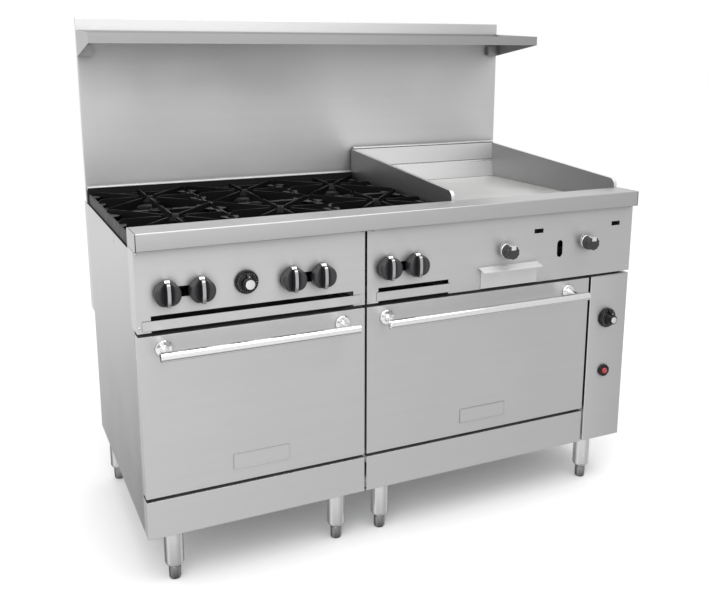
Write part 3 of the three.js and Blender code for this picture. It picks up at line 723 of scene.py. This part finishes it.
def screws():
    """The screws of the control panels and of the back, and the fasteners sunk in the two sides."""
    shape = Shape()
    left_low, left_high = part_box("control_panel_left")
    right_low, right_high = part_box("control_panel_right")
    inset = 0.0065
    for x in (left_low.x + inset, left_high.x - inset, right_low.x + 0.017, right_high.x - 0.011):
        screw_head(shape, (x, left_low.y, SCREW_TOP), FORWARD)
    for x in (left_low.x + inset, right_high.x - 0.012):
        screw_head(shape, (x, left_low.y, SCREW_BOTTOM), FORWARD)
    # the sunk heads are near black, a painted shade for their countersinks
    heads = Shape()
    for out in (-1, 1):
        for place in fastener_places(out):
            heads.turned(SUNK_HEAD, place, (out, 0, 0), 16)
    heads.done("side_fasteners", "root", HEAD_STEEL)
    low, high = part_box("back_panel")
    for i in range(7):
        x = low.x + 0.05 + i * (high.x - low.x - 0.1) / 6
        screw_head(shape, (x, high.y, low.z + 0.02), BACKWARD, 0.0042)
    shape.done("panel_screws", "root", BRIGHT_STEEL, (), 0, 1)


# ---- knobs, dials and the igniter
def knob_skirt(shape, centre, back, radius, depth, grip):
    """The moulded disc of a burner knob: domed at the rim and scooped beside the grip."""
    rings, sectors = 18, 72
    rim_drop, scoop, scoop_width = 0.006, 0.013, 0.022

    def front(u, v):
        share = math.hypot(u, v) / radius
        dome = depth - rim_drop * share**8
        near = max(0.0, 1 - max(0.0, abs(u) - grip / 2) / scoop_width)
        return dome - scoop * near**1.5

    loops = [[(centre.x, back, centre.z)]]
    edge = circle(0, 0, radius, sectors)
    loops.append([(centre.x + u * 0.94, back, centre.z + v * 0.94) for u, v in edge])
    loops.append([(centre.x + u, back - 0.0025, centre.z + v) for u, v in edge])
    for i in range(rings, 0, -1):
        share = (i / rings) ** 0.75
        ring = [(u * share, v * share) for u, v in edge]
        loops.append([(centre.x + u, back - front(u, v), centre.z + v) for u, v in ring])
    loops.append([(centre.x, back - front(0, 0), centre.z)])
    shape.skin(loops)


def grip_outline(centre_z, back, half_height, end_depth, full_depth, steps=14):
    """Side outline of a grip bar, (y, z): a shallow crown with rounded ends."""
    points = [(back - 0.004, centre_z - half_height), (back - 0.004, centre_z + half_height)]
    for k in range(steps + 1):
        t = math.pi * k / steps
        rise = math.sin(t) ** 0.6
        depth = end_depth + (full_depth - end_depth) * rise
        points.append((back - depth, centre_z + half_height * math.cos(t)))
    return points


def burner_knobs():
    """Black knobs with a bright strip let into the grip and a bright pointer behind the top."""
    for i in range(1, 7):
        node = f"burner_knob_{i}"
        low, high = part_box(node)
        centre = (low + high) / 2
        radius = (high.x - low.x) / 2
        depth = high.y - low.y
        grip = 0.0105
        shape = Shape()
        knob_skirt(shape, centre, high.y, radius, depth - 0.006, grip)
        outline = grip_outline(centre.z, high.y, radius * 0.93, 0.023, depth - 0.001)
        shape.prism(outline, "x", centre.x - grip / 2, centre.x + grip / 2)
        shape.done(node + "_moulded", node, PLASTIC, [node], 0.0012, 3)
        trim = Shape()
        outline = grip_outline(centre.z, high.y, radius * 0.955, 0.0235, depth)
        trim.prism(outline, "x", centre.x - 0.0043, centre.x + 0.0043)
        trim.done(f"burner_knob_insert_{i}", node, INSERT_CHROME, (), 0.0009, 2)
        bezel = Shape()
        ring = [(0, 0), (0.0125, 0), (0.0125, 0.001), (0, 0.001)]
        bezel.turned(ring, (centre.x, high.y + 0.0002, centre.z), BACKWARD, 32)
        crest = centre.z + radius
        pointer = [(high.y - 0.003, crest - 0.004), (high.y - 0.003, crest + 0.0022)]
        pointer += [(high.y - 0.014, crest + 0.0022), (high.y - 0.020, crest - 0.004)]
        bezel.prism(rounded(pointer, 0.001, 3), "x", centre.x - 0.0060, centre.x + 0.0060)
        bezel.done(f"burner_knob_hub_{i}", node, HANDLE_CHROME)


def griddle_knobs():
    """Small fluted knobs on a chrome base, with a chrome pointer at the top of the face."""
    for i in (1, 2):
        node = f"griddle_knob_{i}"
        low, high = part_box(node)
        centre = (low + high) / 2
        barrel, flutes = 0.0205, 10
        outline = []
        for k in range(flutes * 12):
            t = 2 * math.pi * k / (flutes * 12)
            radius = barrel - 0.0014 * abs(math.sin(flutes * t / 2)) ** 1.5
            outline.append((centre.x + radius * math.sin(t), centre.z + radius * math.cos(t)))
        shape = Shape()
        shape.prism(outline, "y", high.y - 0.0045, low.y)
        collar = [(0, 0.0040), (0.0218, 0.0040), (0.0222, 0.0060)]
        collar += [(0.0222, 0.0140), (0.0205, 0.0160), (0, 0.0160)]
        shape.turned(collar, (centre.x, high.y, centre.z), FORWARD, 40)
        shape.done(node + "_fluted", node, PLASTIC, [node], 0.0010, 3)
        trim = Shape()
        base = [(0, 0), (0.0222, 0), (0.0225, 0.0008), (0.0225, 0.0032), (0.0214, 0.0041), (0, 0.0041)]
        trim.turned(base, (centre.x, high.y, centre.z), FORWARD, 48)
        nose = [
            (low.y - 0.0006, centre.z + 0.0070), (low.y - 0.0006, centre.z + barrel + 0.0006),
            (high.y - 0.0060, centre.z + barrel + 0.0020), (high.y - 0.0060, centre.z + 0.0150),
        ]
        trim.prism(rounded(nose, 0.0008, 3), "x", centre.x - 0.0080, centre.x + 0.0080)
        trim.done(f"griddle_knob_trim_{i}", node, HANDLE_CHROME, (), 0.0004)


def thermostat_dials():
    """A black skirt, a pointer bar with a notch, and a silver cap."""
    for side, cap in (("left", 0.0120), ("right", 0.0098)):
        node = f"thermostat_dial_{side}"
        low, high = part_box(node)
        centre = (low + high) / 2
        x, back, z = centre.x, high.y, centre.z
        radius = (high.x - low.x) / 2
        skirt = [
            (0, 0), (radius * 0.95, 0), (radius, 0.0012), (radius, 0.0058), (radius * 0.93, 0.0090),
            (radius * 0.62, 0.0105), (0.0165, 0.0125), (0.0150, 0.0300), (0.0138, 0.0330), (0, 0.0335),
        ]
        bar = [
            (back - 0.005, z), (back - 0.005, z + radius * 0.96),
            (back - 0.0120, z + radius * 0.98), (back - 0.0180, z + radius * 0.86),
            (back - 0.0330, z + 0.0120), (back - 0.0330, z),
        ]
        shape = Shape()
        shape.turned(skirt, (x, back, z), FORWARD, 64)
        shape.prism(rounded(bar, [0, 0, 0.002, 0.004, 0.002, 0]), "x", x - 0.0048, x + 0.0048)
        shape.done(node + "_moulded", node, DIAL_PLASTIC, [node], 0.0009, 3)
        crown = [
            (0, 0.0330), (cap * 1.03, 0.0330), (cap * 1.05, 0.0340),
            (cap, 0.0351), (cap * 0.6, 0.0357), (0, 0.0358),
        ]
        disc = Shape()
        disc.turned(crown, (x, back, z), FORWARD, 48)
        disc.done(f"thermostat_cap_{side}", node, BRIGHT_STEEL)
        dial_marks(side, x, back, z, radius)


def dial_marks(side, x, back, z, radius):
    """A tick for each 15 degrees but the top one, longer at each third, and a dot on the pointer."""
    marks = Shape()
    dot = [(0, 0), (0.0019, 0), (0.0017, 0.0006), (0, 0.0007)]
    marks.turned(dot, (x, back - 0.0275, z + 0.0180), (0, -0.55, 0.83), 16)
    for k in range(1, 24):
        t = 2 * math.pi * k / 24
        out = Vector((math.sin(t), 0, math.cos(t)))
        length = 0.0042 if k % 3 == 0 else 0.0024
        start = Vector((x, back - 0.0098, z)) + out * radius * 0.74
        marks.tube(start, start + out * length + Vector((0, 0.0003, 0)), 0.00035, 6, 0)
    marks.done(f"thermostat_marks_{side}", f"thermostat_dial_{side}", DIAL_INK)


def igniter():
    """A red domed button. Its black bezel belongs to the panel."""
    low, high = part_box("igniter_button")
    centre = (low + high) / 2
    radius = (high.x - low.x) / 2
    shape = Shape()
    dome = [(0, 0.0), (radius, 0.0), (radius, 0.0185)]
    for k in range(1, 9):
        t = math.pi / 2 * k / 8
        dome.append((radius * math.cos(t), 0.0185 + 0.0068 * math.sin(t)))
    shape.turned(dome[:-1] + [(0, 0.0253)], (centre.x, high.y, centre.z), FORWARD, 48)
    shape.done("igniter_button_dome", "igniter_button", RED, ["igniter_button"])
    igniter_bezel(centre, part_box("oven_control_panel")[0].y + BEZEL_DEPTH)


def igniter_bezel(centre, face):
    """A soft octagon round the button, with a round hole."""
    outer, inner = 0.0196, 0.0122
    edge = rounded(circle(centre.x, centre.z, outer, 8, 0.5), 0.006, 4)
    angles = [math.atan2(z - centre.z, x - centre.x) for x, z in edge]
    hole = [(centre.x + inner * math.cos(t), centre.z + inner * math.sin(t)) for t in angles]
    levels = [(edge, face - 0.0002), (edge, face - 0.0075), (hole, face - 0.0086), (hole, face - 0.0002)]
    ring = Shape()
    ring.skin([[(x, y, z) for x, z in points] for points, y in levels], closed=True)
    ring.done("igniter_bezel", "root", DIAL_PLASTIC, (), 0.0008, 3)


# ---- trays, doors and handles
def trays():
    """The crumb trays, and the grease drawer with an oblong hollow in its lip."""
    refined("crumb_tray_left", TRAY_STEEL, 0.0004)
    refined("crumb_tray_right", TRAY_STEEL, 0.0004)
    low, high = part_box("grease_drawer")
    drawer = refined("grease_drawer", DRAWER_STEEL, 0.0004)
    cutter = Shape()
    cutter.turned([(0, -0.02), (0.006, -0.02), (0.006, 0.02), (0, 0.02)], (0, 0, 0), UP, 24)
    hole_x, hole_y = low.x + 0.080, low.y + 0.011
    for vert in cutter.mesh.verts:
        vert.co.x = vert.co.x * 1.8 + hole_x
        vert.co.y = vert.co.y + hole_y
        vert.co.z = vert.co.z + high.z - 0.008
    carved(drawer, cutter.plain("grease_lip_cutter"))


def nameplate(side):
    """A plain plate with no lettering, with a raised rim."""
    low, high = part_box(f"oven_door_{side}")
    width, height, lift, thickness, rim = 0.155, 0.043, 0.035, 0.0014, 0.0016
    middle_x = (low.x + high.x) / 2 + 0.003
    left, right = middle_x - width / 2, middle_x + width / 2
    bottom = low.z + lift
    top = bottom + height
    shape = Shape()
    corners = rectangle(left, bottom, right, top)
    shape.prism(rounded(corners, 0.0025), "y", low.y - thickness, low.y + 0.0003)
    bars = [
        (left, bottom, right, bottom + rim), (left, top - rim, right, top),
        (left, bottom + rim, left + rim, top - rim), (right - rim, bottom + rim, right, top - rim),
    ]
    for x0, z0, x1, z1 in bars:
        shape.box((x0, low.y - thickness - 0.0006, z0), (x1, low.y - thickness * 0.5, z1))
    shape.done(f"nameplate_{side}", f"door_{side}", STEEL_X, (), 0.0003)


def doors():
    for side in ("left", "right"):
        refined(f"oven_door_{side}", STEEL_X, 0.0022, 3)
        nameplate(side)
        door_handle(side)


def door_handle(side):
    """An open-ended tube on two turned posts with round flanges."""
    node = f"door_handle_{side}"
    low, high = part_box(node)
    radius, wall = 0.0127, 0.0016
    y, z = low.y + radius, (low.z + high.z) / 2
    length = high.x - low.x
    lip = [(0, 0.010), (radius - wall, 0.010), (radius - wall, 0.0003)]
    lip += [(radius - 0.0008, 0), (radius, 0.0008)]
    mirrored = [(r, length - h) for r, h in reversed(lip)]
    shape = Shape()
    shape.turned(lip + mirrored, (low.x, y, z), RIGHTWARD, 48)
    post = [
        (0, 0), (0.0206, 0), (0.0210, 0.0006), (0.0210, 0.0040), (0.0195, 0.0056), (0.0112, 0.0062),
        (0.0094, 0.0085), (0.0090, 0.0120), (0.0090, 0.0500), (0.0100, 0.0560), (0, 0.0600),
    ]
    inset = 0.022 if side == "left" else 0.024
    for x in (low.x + inset, high.x - inset):
        shape.turned(post, (x, high.y, z), FORWARD, 40)
    shape.done(node + "_tube", f"door_{side}", HANDLE_CHROME, [node], 0, 1)


# ---- ovens and gas parts
def oven_racks():
    """Wire racks: a rim, wires from front to back, and one cross wire under them."""
    for side in ("left", "right"):
        node = f"oven_rack_{side}"
        low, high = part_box(node)
        z = (low.z + high.z) / 2
        rim, wire = 0.0030, 0.0022
        shape = Shape()
        corners = rectangle(low.x + rim, low.y + rim, high.x - rim, high.y - rim)
        for (x0, y0), (x1, y1) in zip(corners, corners[1:] + corners[:1]):
            shape.tube((x0, y0, z), (x1, y1, z), rim, 16)
        count = round((high.x - low.x) / 0.030)
        for i in range(1, count):
            x = low.x + i * (high.x - low.x) / count
            shape.tube((x, low.y + rim, z + 0.0005), (x, high.y - rim, z + 0.0005), wire, 10)
        cross = (low.y + high.y) / 2
        shape.tube((low.x + rim, cross, z - 0.0008), (high.x - rim, cross, z - 0.0008), wire, 10)
        shape.done(node + "_wire", "root", RACK_CHROME, [node])


def burner_tubes(name, node, runs, bars, radius):
    """Burner tubes from front to back, joined by cross bars, with a row of ports along each."""
    low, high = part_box(node)
    z = (low.z + high.z) / 2
    shape = Shape()
    for x, y0, y1 in runs:
        shape.tube((x, y0, z), (x, y1, z), radius, 20, 0.002)
        count = int((y1 - y0) / 0.03)
        for i in range(1, count):
            y = y0 + i * (y1 - y0) / count
            port = [(0, 0), (0.0026, 0), (0.0022, 0.0008), (0.0012, 0.0008), (0.0010, -0.001), (0, -0.001)]
            shape.turned(port, (x, y, z + radius - 0.0004), UP, 10)
    for x0, x1, y in bars:
        shape.tube((x0, y, z), (x1, y, z), radius, 20, 0.002)
    shape.done(name, "root", ALUMINISED, [node])


def section_joint():
    """A cover sheet on top of the oven shells, over the open space between the range's two sections."""
    left_low, left_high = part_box("oven_liner_left")
    right_low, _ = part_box("oven_liner_right")
    lap, top = 0.052, left_high.z
    shape = Shape()
    strip = rectangle(left_high.x - lap, top + 0.0002, right_low.x + lap, top + 0.0014)
    shape.prism(rounded(strip, 0.0004, 2), "y", left_low.y + 0.004, left_high.y - 0.002)
    shape.done("section_joint_cover", "root", ALUMINISED)


def oven_parts():
    """The oven liners, racks and burners, and the griddle's burners."""
    for side in ("left", "right"):
        refined(f"oven_liner_{side}", ENAMEL, 0.0006)
        low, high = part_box(f"oven_burner_{side}")
        centre = (low.x + high.x) / 2
        reach = (high.x - low.x) / 2 - 0.012
        runs = [(centre, low.y, high.y)]
        runs += [(centre + sign * reach, low.y + 0.110, high.y) for sign in (-1, 1)]
        bars = [(centre - reach, centre + reach, low.y + 0.260)]
        burner_tubes(f"oven_burner_{side}_tubes", f"oven_burner_{side}", runs, bars, 0.012)
    oven_racks()
    low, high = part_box("griddle_burner")
    radius = 0.012
    xs = [low.x + radius + i * (high.x - low.x - 2 * radius) / 3 for i in range(4)]
    runs = [(x, low.y, high.y) for x in xs]
    burner_tubes("griddle_burner_tubes", "griddle_burner", runs, [(xs[0], xs[3], low.y + 0.03)], radius)


def gas_supply():
    """The manifold pipe behind the panels with a valve for each knob, and the inlet pipe to the back."""
    low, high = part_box("gas_manifold")
    radius = 0.011
    knobs = [middle(f"burner_knob_{i}") for i in range(1, 7)]
    knobs += [middle(f"griddle_knob_{i}") for i in (1, 2)]
    knobs += [middle("thermostat_dial_left")]
    pipe_z = knobs[0].z
    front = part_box("control_panel_left")[0].y
    y = front + 0.046
    x = high.x - radius
    inlet_z = low.z + radius
    shape = Shape()
    shape.tube((low.x, y, pipe_z), (x, y, pipe_z), radius, 24, 0.002)
    shape.tube((x, y, pipe_z), (x, y, inlet_z), radius, 24, 0.002)
    shape.tube((x, y, inlet_z), (x, high.y, inlet_z), radius, 24, 0.002)
    for z in (pipe_z, inlet_z):
        elbow = [(0, -0.016), (0.0145, -0.016), (0.0155, -0.012)]
        elbow += [(0.0155, 0.012), (0.0145, 0.016), (0, 0.016)]
        shape.turned(elbow, (x, y, z), UP, 24)
    dial = middle("thermostat_dial_right")
    for place in knobs + [dial]:
        body = [(0, 0), (0.0115, 0), (0.0120, 0.004), (0.0120, 0.022), (0.0085, 0.026), (0.0080, 0.032)]
        body += [(0.0038, 0.034), (0.0038, 0.0455), (0, 0.0455)]
        shape.turned(body, (place.x, y, place.z), FORWARD, 24)
    shape.tube((dial.x, y, dial.z), (x, y, dial.z), 0.008, 16)
    shape.done("gas_manifold_pipes", "root", BRASS, ["gas_manifold"], 0.0005)


# ---- cooktop
def burner_box():
    """The open box under the grates, with its support rails and the rolled bead at the back."""
    low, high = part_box("burner_box")
    bead_radius = 0.0075
    bead_y = high.y - bead_radius
    bead_z = high.z - bead_radius
    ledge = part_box("front_ledge")[1].z
    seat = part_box("grate_front_1")[0].z - 0.001
    back = bead_y - bead_radius + 0.001
    shape = Shape()
    shape.box((low.x, low.y, low.z), (high.x, low.y + SHEET, ledge - 0.006))
    shape.box((low.x, back - SHEET, low.z), (high.x, back, bead_z))
    for x in (low.x, high.x - SHEET):
        shape.box((x, low.y + 0.001, low.z), (x + SHEET, back - 0.001, seat))
    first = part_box("grate_front_1")
    pitch = first[1].x - first[0].x + GRATE_GAP
    for i in range(1, BURNER_COLUMNS):
        x = first[0].x - GRATE_GAP / 2 + i * pitch
        shape.box((x - RAIL_WIDTH / 2, low.y, seat - 0.014), (x + RAIL_WIDTH / 2, back, seat))
    y = first[1].y + GRATE_GAP / 2
    shape.box((low.x, y - RAIL_WIDTH / 2, seat - 0.014), (high.x, y + RAIL_WIDTH / 2, seat))
    shape.done("burner_box_walls", "root", BOX_IRON, ["burner_box"], 0.0005)
    bead = Shape()
    bead.tube((low.x, bead_y, bead_z), (high.x, bead_y, bead_z), bead_radius, 32, 0.001)
    bead.done("burner_box_bead", "root", STEEL_X)


def burner_head(shape, x, y, base, top):
    """One cast burner: a star-shaped head with raised ports around a domed cap."""
    bowl = [(0, base), (0.034, base), (0.036, base + 0.036), (0.041, base + 0.040)]
    bowl += [(0.041, top - 0.018), (0, top - 0.018)]
    shape.turned(bowl, (x, y, 0), UP, 40)
    lobes, depth = 8, 0.009

    def reach(t):
        wave = 0.5 + 0.5 * math.cos(lobes * t)
        return 0.0495 - depth * (1 - wave**0.6)

    shape.prism(circle(x, y, reach, lobes * 10), "z", top - 0.020, top - 0.010)
    cap = [(0, top - 0.011), (0.036, top - 0.011), (0.037, top - 0.006)]
    cap += [(0.030, top - 0.001), (0.012, top), (0, top)]
    shape.turned(cap, (x, y, 0), UP, 40)
    for u, v in circle(0, 0, 1, lobes):
        start = Vector((x, y, top - 0.0075)) + Vector((u, v, 0)) * 0.033
        shape.tube(start, start + Vector((u, v, 0)) * 0.0135, 0.0050, 14, 0.001)


def burners():
    """Each pair: two heads, a mixer tube from each to the front, and its air shutter."""
    for i in range(1, BURNER_COLUMNS + 1):
        node = f"burner_pair_{i}"
        low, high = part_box(node)
        shape = Shape()
        tube_z = low.z + 0.014
        x = (low.x + high.x) / 2
        for row, offset in (("front", -0.022), ("rear", 0.022)):
            y = middle(f"grate_{row}_{i}").y
            burner_head(shape, x, y, low.z, high.z)
            shape.tube((x + offset, y, tube_z), (x + offset, low.y, tube_z), 0.012, 20)
            shutter = [(0, 0), (0.0150, 0), (0.0155, 0.002), (0.0155, 0.020), (0.0125, 0.026), (0, 0.026)]
            shape.turned(shutter, (x + offset, low.y, tube_z), BACKWARD, 24)
        shape.done(node + "_cast", "root", BURNER_IRON, [node], 0.0008)


def grate_fin(shape, centre, direction, length, low, top):
    """An upright tapered blade from near the middle of a grate out to its frame."""
    inner = 0.031
    top_half, foot_half = 0.0021, 0.0036
    across = Vector((-direction.y, direction.x, 0))
    side = [
        (inner, top - 0.0030), (inner + 0.003, top), (length - 0.014, top),
        (length - 0.005, top - 0.006), (length - 0.004, low), (inner + 0.062, low),
        (inner + 0.020, top - 0.0150), (inner, top - 0.0110),
    ]
    rings = []
    for sign in (-1, 1):
        ring = []
        for reach, height in side:
            share = (top - height) / (top - low)
            half = top_half + (foot_half - top_half) * share
            ring.append(Vector((centre.x, centre.y, height)) + direction * reach + across * sign * half)
        rings.append(ring)
    shape.skin(rings)


def grate_web(shape, corner, size, height):
    """A flat lobe of the casting, from its corner in the frame towards a fin. The size is signed."""
    thickness = 0.005
    points = [(0, 0), (1, 0), (0.92, 0.45), (0.55, 0.85), (0, 1)]
    outline = [(corner[0] + size[0] * a, corner[1] + size[1] * b) for a, b in points]
    shape.prism(rounded(outline, [0, 0.002, 0.006, 0.006, 0.002], 4), "z", height - thickness, height)


def grate_frame(shape, low, high, left, bar, top):
    """Four bars with a little draft. The outer edge of the left one is at left."""
    draft = 0.0012

    def tapered(start, end):
        return [(start, low.z), (end, low.z), (end - draft, top), (start + draft, top)]

    for start, end in ((low.y, low.y + bar), (high.y - bar, high.y)):
        shape.prism(tapered(start, end), "x", low.x + 0.0004, high.x - 0.0004)
    for start, end in ((left, low.x + bar), (high.x - bar, high.x)):
        shape.prism(tapered(start, end), "y", low.y, high.y)


def grate_bowl(shape, centre, bottom):
    """The sloping dish round the burner, faintly eight-sided."""
    under = [(0.086, 0.002), (0.138, 0.014), (0.150, 0.016)]
    upper = [(0.150, 0.020), (0.137, 0.019), (0.086, 0.008)]
    rings = []
    for radius, height in under + upper:

        def reach(t):
            return radius * (1 - 0.04 * (0.5 - 0.5 * math.cos(8 * t)))

        rings.append([(x, y, bottom + height) for x, y in circle(centre.x, centre.y, reach, 48)])
    shape.skin(rings, closed=True)


def grate_webs(shape, centre, reach_x, reach_y, top):
    """The lobes in the corners of the frame and beside the middles of its bars."""
    web = 0.024
    for sx in (-1, 1):
        side_x = centre.x + sx * (reach_x - 0.001)
        for sy in (-1, 1):
            side_y = centre.y + sy * (reach_y - 0.001)
            grate_web(shape, (side_x, side_y), (-sx * web * 1.7, -sy * web * 2.6), top)
            grate_web(shape, (side_x, centre.y), (-sx * web, sy * web * 1.9), top)
            grate_web(shape, (centre.x, side_y), (sx * web * 1.5, -sy * web * 0.7), top)


def grate(node, apron):
    """One cast grate: frame, sloping bowl, eight fins, and lobes where the fins meet the frame.

    A grate at the left edge of the cooktop has a smooth apron on its outer side.
    """
    low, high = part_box(node)
    centre = (low + high) / 2
    bar, frame_top = 0.010, high.z - 0.013
    left = low.x + bar * 0.6 if apron else low.x
    shape = Shape()
    grate_frame(shape, low, high, left, bar, frame_top)
    if apron:
        # the apron's lighter iron is painted light
        smooth = Shape()
        smooth.box(low, (left, high.y, frame_top + 0.003))
        smooth.done(node + "_apron", node, APRON_IRON_PAINTED_LIGHT, (), 0.0009)
    grate_bowl(shape, centre, low.z)
    reach_x, reach_y = (high.x - low.x) / 2, (high.y - low.y) / 2
    for k in range(8):
        t = k * math.pi / 4
        end = Vector((round(math.cos(t)) * reach_x, round(math.sin(t)) * reach_y, 0))
        grate_fin(shape, centre, end.normalized(), end.length, low.z + 0.012, high.z)
    grate_webs(shape, centre, reach_x, reach_y, frame_top)
    shape.done(node + "_cast", node, IRON, [node], 0.0009)


def grates():
    """Six grates, three across and two deep."""
    for i in range(1, BURNER_COLUMNS + 1):
        for row in ("front", "rear"):
            grate(f"grate_{row}_{i}", i == 1)


def griddle():
    """The plate, and the welded splash guard with its sloping back and rounded front corners."""
    refined("griddle_plate", GRIDDLE_STEEL, 0.0015, 3)
    low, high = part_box("griddle_splash")
    plate_low, plate_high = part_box("griddle_plate")
    wall = plate_low.x - low.x - 0.0005
    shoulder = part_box("backguard")[0].z
    low_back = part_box("flue_riser")[0].y - 0.001
    front_top = 0.980
    back_top = high.z - 0.008
    side = [
        (low.y, low.z), (low_back, low.z), (low_back, shoulder), (high.y, shoulder),
        (high.y, back_top), (low.y, front_top),
    ]
    shape = Shape()
    for x in (low.x, high.x - wall):
        shape.prism(rounded(side, [0, 0, 0, 0, 0.006, 0.022], 8), "x", x, x + wall)
    bend = 0.964
    splash = [
        (plate_high.y + SEAM, plate_high.z - 0.024), (low_back, plate_high.z - 0.024),
        (low_back, shoulder), (high.y, shoulder), (high.y, high.z), (high.y - 0.010, high.z),
        (high.y - 0.010, bend), (plate_high.y + SEAM, plate_high.z + 0.002),
    ]
    inner = (low.x + wall * 0.6, high.x - wall * 0.6)
    shape.prism(rounded(splash, [0, 0, 0, 0, 0.002, 0.003, 0.010, 0.003]), "x", *inner)
    trough_back = plate_low.y - 0.002
    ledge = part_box("front_ledge")[1].z
    shape.box((inner[0], low.y, low.z), (inner[1], low.y + SHEET, ledge - 0.004))
    shape.box((inner[0], low.y, low.z), (inner[1], trough_back, low.z + SHEET))
    shape.box((inner[0], trough_back - SHEET, low.z), (inner[1], trough_back, plate_high.z - 0.006))
    shape.done("griddle_splash_welded", "root", MILL_PLATE, ["griddle_splash"], 0.0016, 3)
    splash_trim(inner, high.y - 0.010, (bend, high.z), plate_high)


def splash_trim(ends, face, heights, plate):
    """Folds across the rear splash at two heights, brighter than the plate as a painted highlight, with dark
    bars beside each and by the plate as painted shadow lines.
    """
    bend, top = heights
    folds = Shape()
    for height, radius in ((bend, 0.0030), (top - 0.0026, 0.0026)):
        folds.tube((ends[0], face, height), (ends[1], face, height), radius, 16)
    folds.done("griddle_splash_folds", "root", FOLD_STEEL)
    # painted shadow lines: dark bars beside the folds and in the gap by the plate
    shadow_lines = Shape()
    for low, high in ((top - 0.0085, top - 0.0062), (bend + 0.0045, bend + 0.0062)):
        shadow_lines.box((ends[0], face - 0.0003, low), (ends[1], face + 0.001, high))
    shadow_lines.box((ends[0], plate.y + 0.0002, plate.z - 0.004), (ends[1], plate.y + SEAM, plate.z))
    shadow_lines.done("griddle_splash_shadow_lines", "root", BOX_IRON, (), 0.0002)


# ---- stage, light and camera
def floor_sheet():
    """The studio floor, which the steel doesn't reflect."""
    data = bpy.data.meshes.new("floor")
    mesh = bmesh.new()
    bmesh.ops.create_grid(mesh, x_segments=1, y_segments=1, size=30)
    mesh.to_mesh(data)
    mesh.free()
    floor = bpy.data.objects.new("floor", data)
    floor.data.materials.append(FLOOR)
    bpy.context.scene.collection.objects.link(floor)
    floor.visible_glossy = False


def studio():
    """A grey studio that the steel reflects, and two lamps. The camera itself sees plain white."""
    world = bpy.data.worlds.new("studio")
    bpy.context.scene.world = world
    world.use_nodes = True
    tree = world.node_tree
    place = add_node(tree, "ShaderNodeTexCoord")
    split = add_node(tree, "ShaderNodeSeparateXYZ")
    tree.links.new(place.outputs["Generated"], split.inputs["Vector"])
    x, y, z = (split.outputs[axis] for axis in "XYZ")
    wall = between(tree, y, FRONT_WALL, BACK_WALL, -0.5, 0.4)
    ground = between(tree, z, BACK_GROUND, 1.0, -0.46, -0.22)
    back_level = blended(tree, between(tree, y, 0.0, 1.0, 0.0, 0.5), 1.0, ground)
    front_ground = between(tree, z, FRONT_GROUND, 1.0, -0.85, -0.50)
    front_level = blended(tree, between(tree, y, 1.0, 0.0, -0.3, 0.1), 1.0, front_ground)
    right_shade = between(tree, x, 1.0, RIGHT_SHADE, 0.1, 0.8)
    right_level = blended(tree, between(tree, y, 1.0, 0.0, -0.3, 0.3), 1.0, right_shade)
    ground_level = combined(tree, "MULTIPLY", back_level, front_level)
    level = combined(tree, "MULTIPLY", wall, ground_level)
    level = combined(tree, "MULTIPLY", level, right_level)
    seen = add_node(tree, "ShaderNodeLightPath").outputs["Is Camera Ray"]
    level = blended(tree, between(tree, seen, 1.0, 0.0, 0.0, 1.0), 1.0, level)
    sky = tree.nodes["Background"]
    sky.inputs["Color"].default_value = (1, 1, 1, 1)
    tree.links.new(level, sky.inputs["Strength"])
    lamp("key", (-2.0, -2.8, 3.0), (0.0, 0.0, 0.7), 2.6, 38)
    lamp("top", (0.2, -0.9, 3.2), (0.1, 0.2, 0.9), 3.0, 42)


def lamp(name, place, target, size, power):
    data = bpy.data.lights.new(name, "AREA")
    data.shape = "DISK"
    data.size = size
    data.energy = power
    light = bpy.data.objects.new(name, data)
    light.location = place
    light.rotation_mode = "QUATERNION"
    light.rotation_quaternion = (Vector(target) - Vector(place)).to_track_quat("-Z", "Y")
    bpy.context.scene.collection.objects.link(light)


def camera():
    data = bpy.data.cameras.new("camera")
    data.lens = CAMERA_LENS
    data.sensor_width = 36
    data.shift_y = CAMERA_SHIFT
    made = bpy.data.objects.new("camera", data)
    made.location = CAMERA_PLACE
    made.rotation_euler = (math.radians(90 - CAMERA_TILT), 0, math.radians(-CAMERA_TURN))
    bpy.context.scene.collection.objects.link(made)
    bpy.context.scene.camera = made


# ---- the whole range
bpy.context.scene.view_settings.view_transform = "Standard"
cabinet_shell()
front_ledge()
backguard_and_shelf()
legs()
screws()
burner_knobs()
griddle_knobs()
thermostat_dials()
igniter()
trays()
doors()
oven_parts()
section_joint()
gas_supply()
burner_box()
burners()
grates()
griddle()
floor_sheet()
studio()
camera()
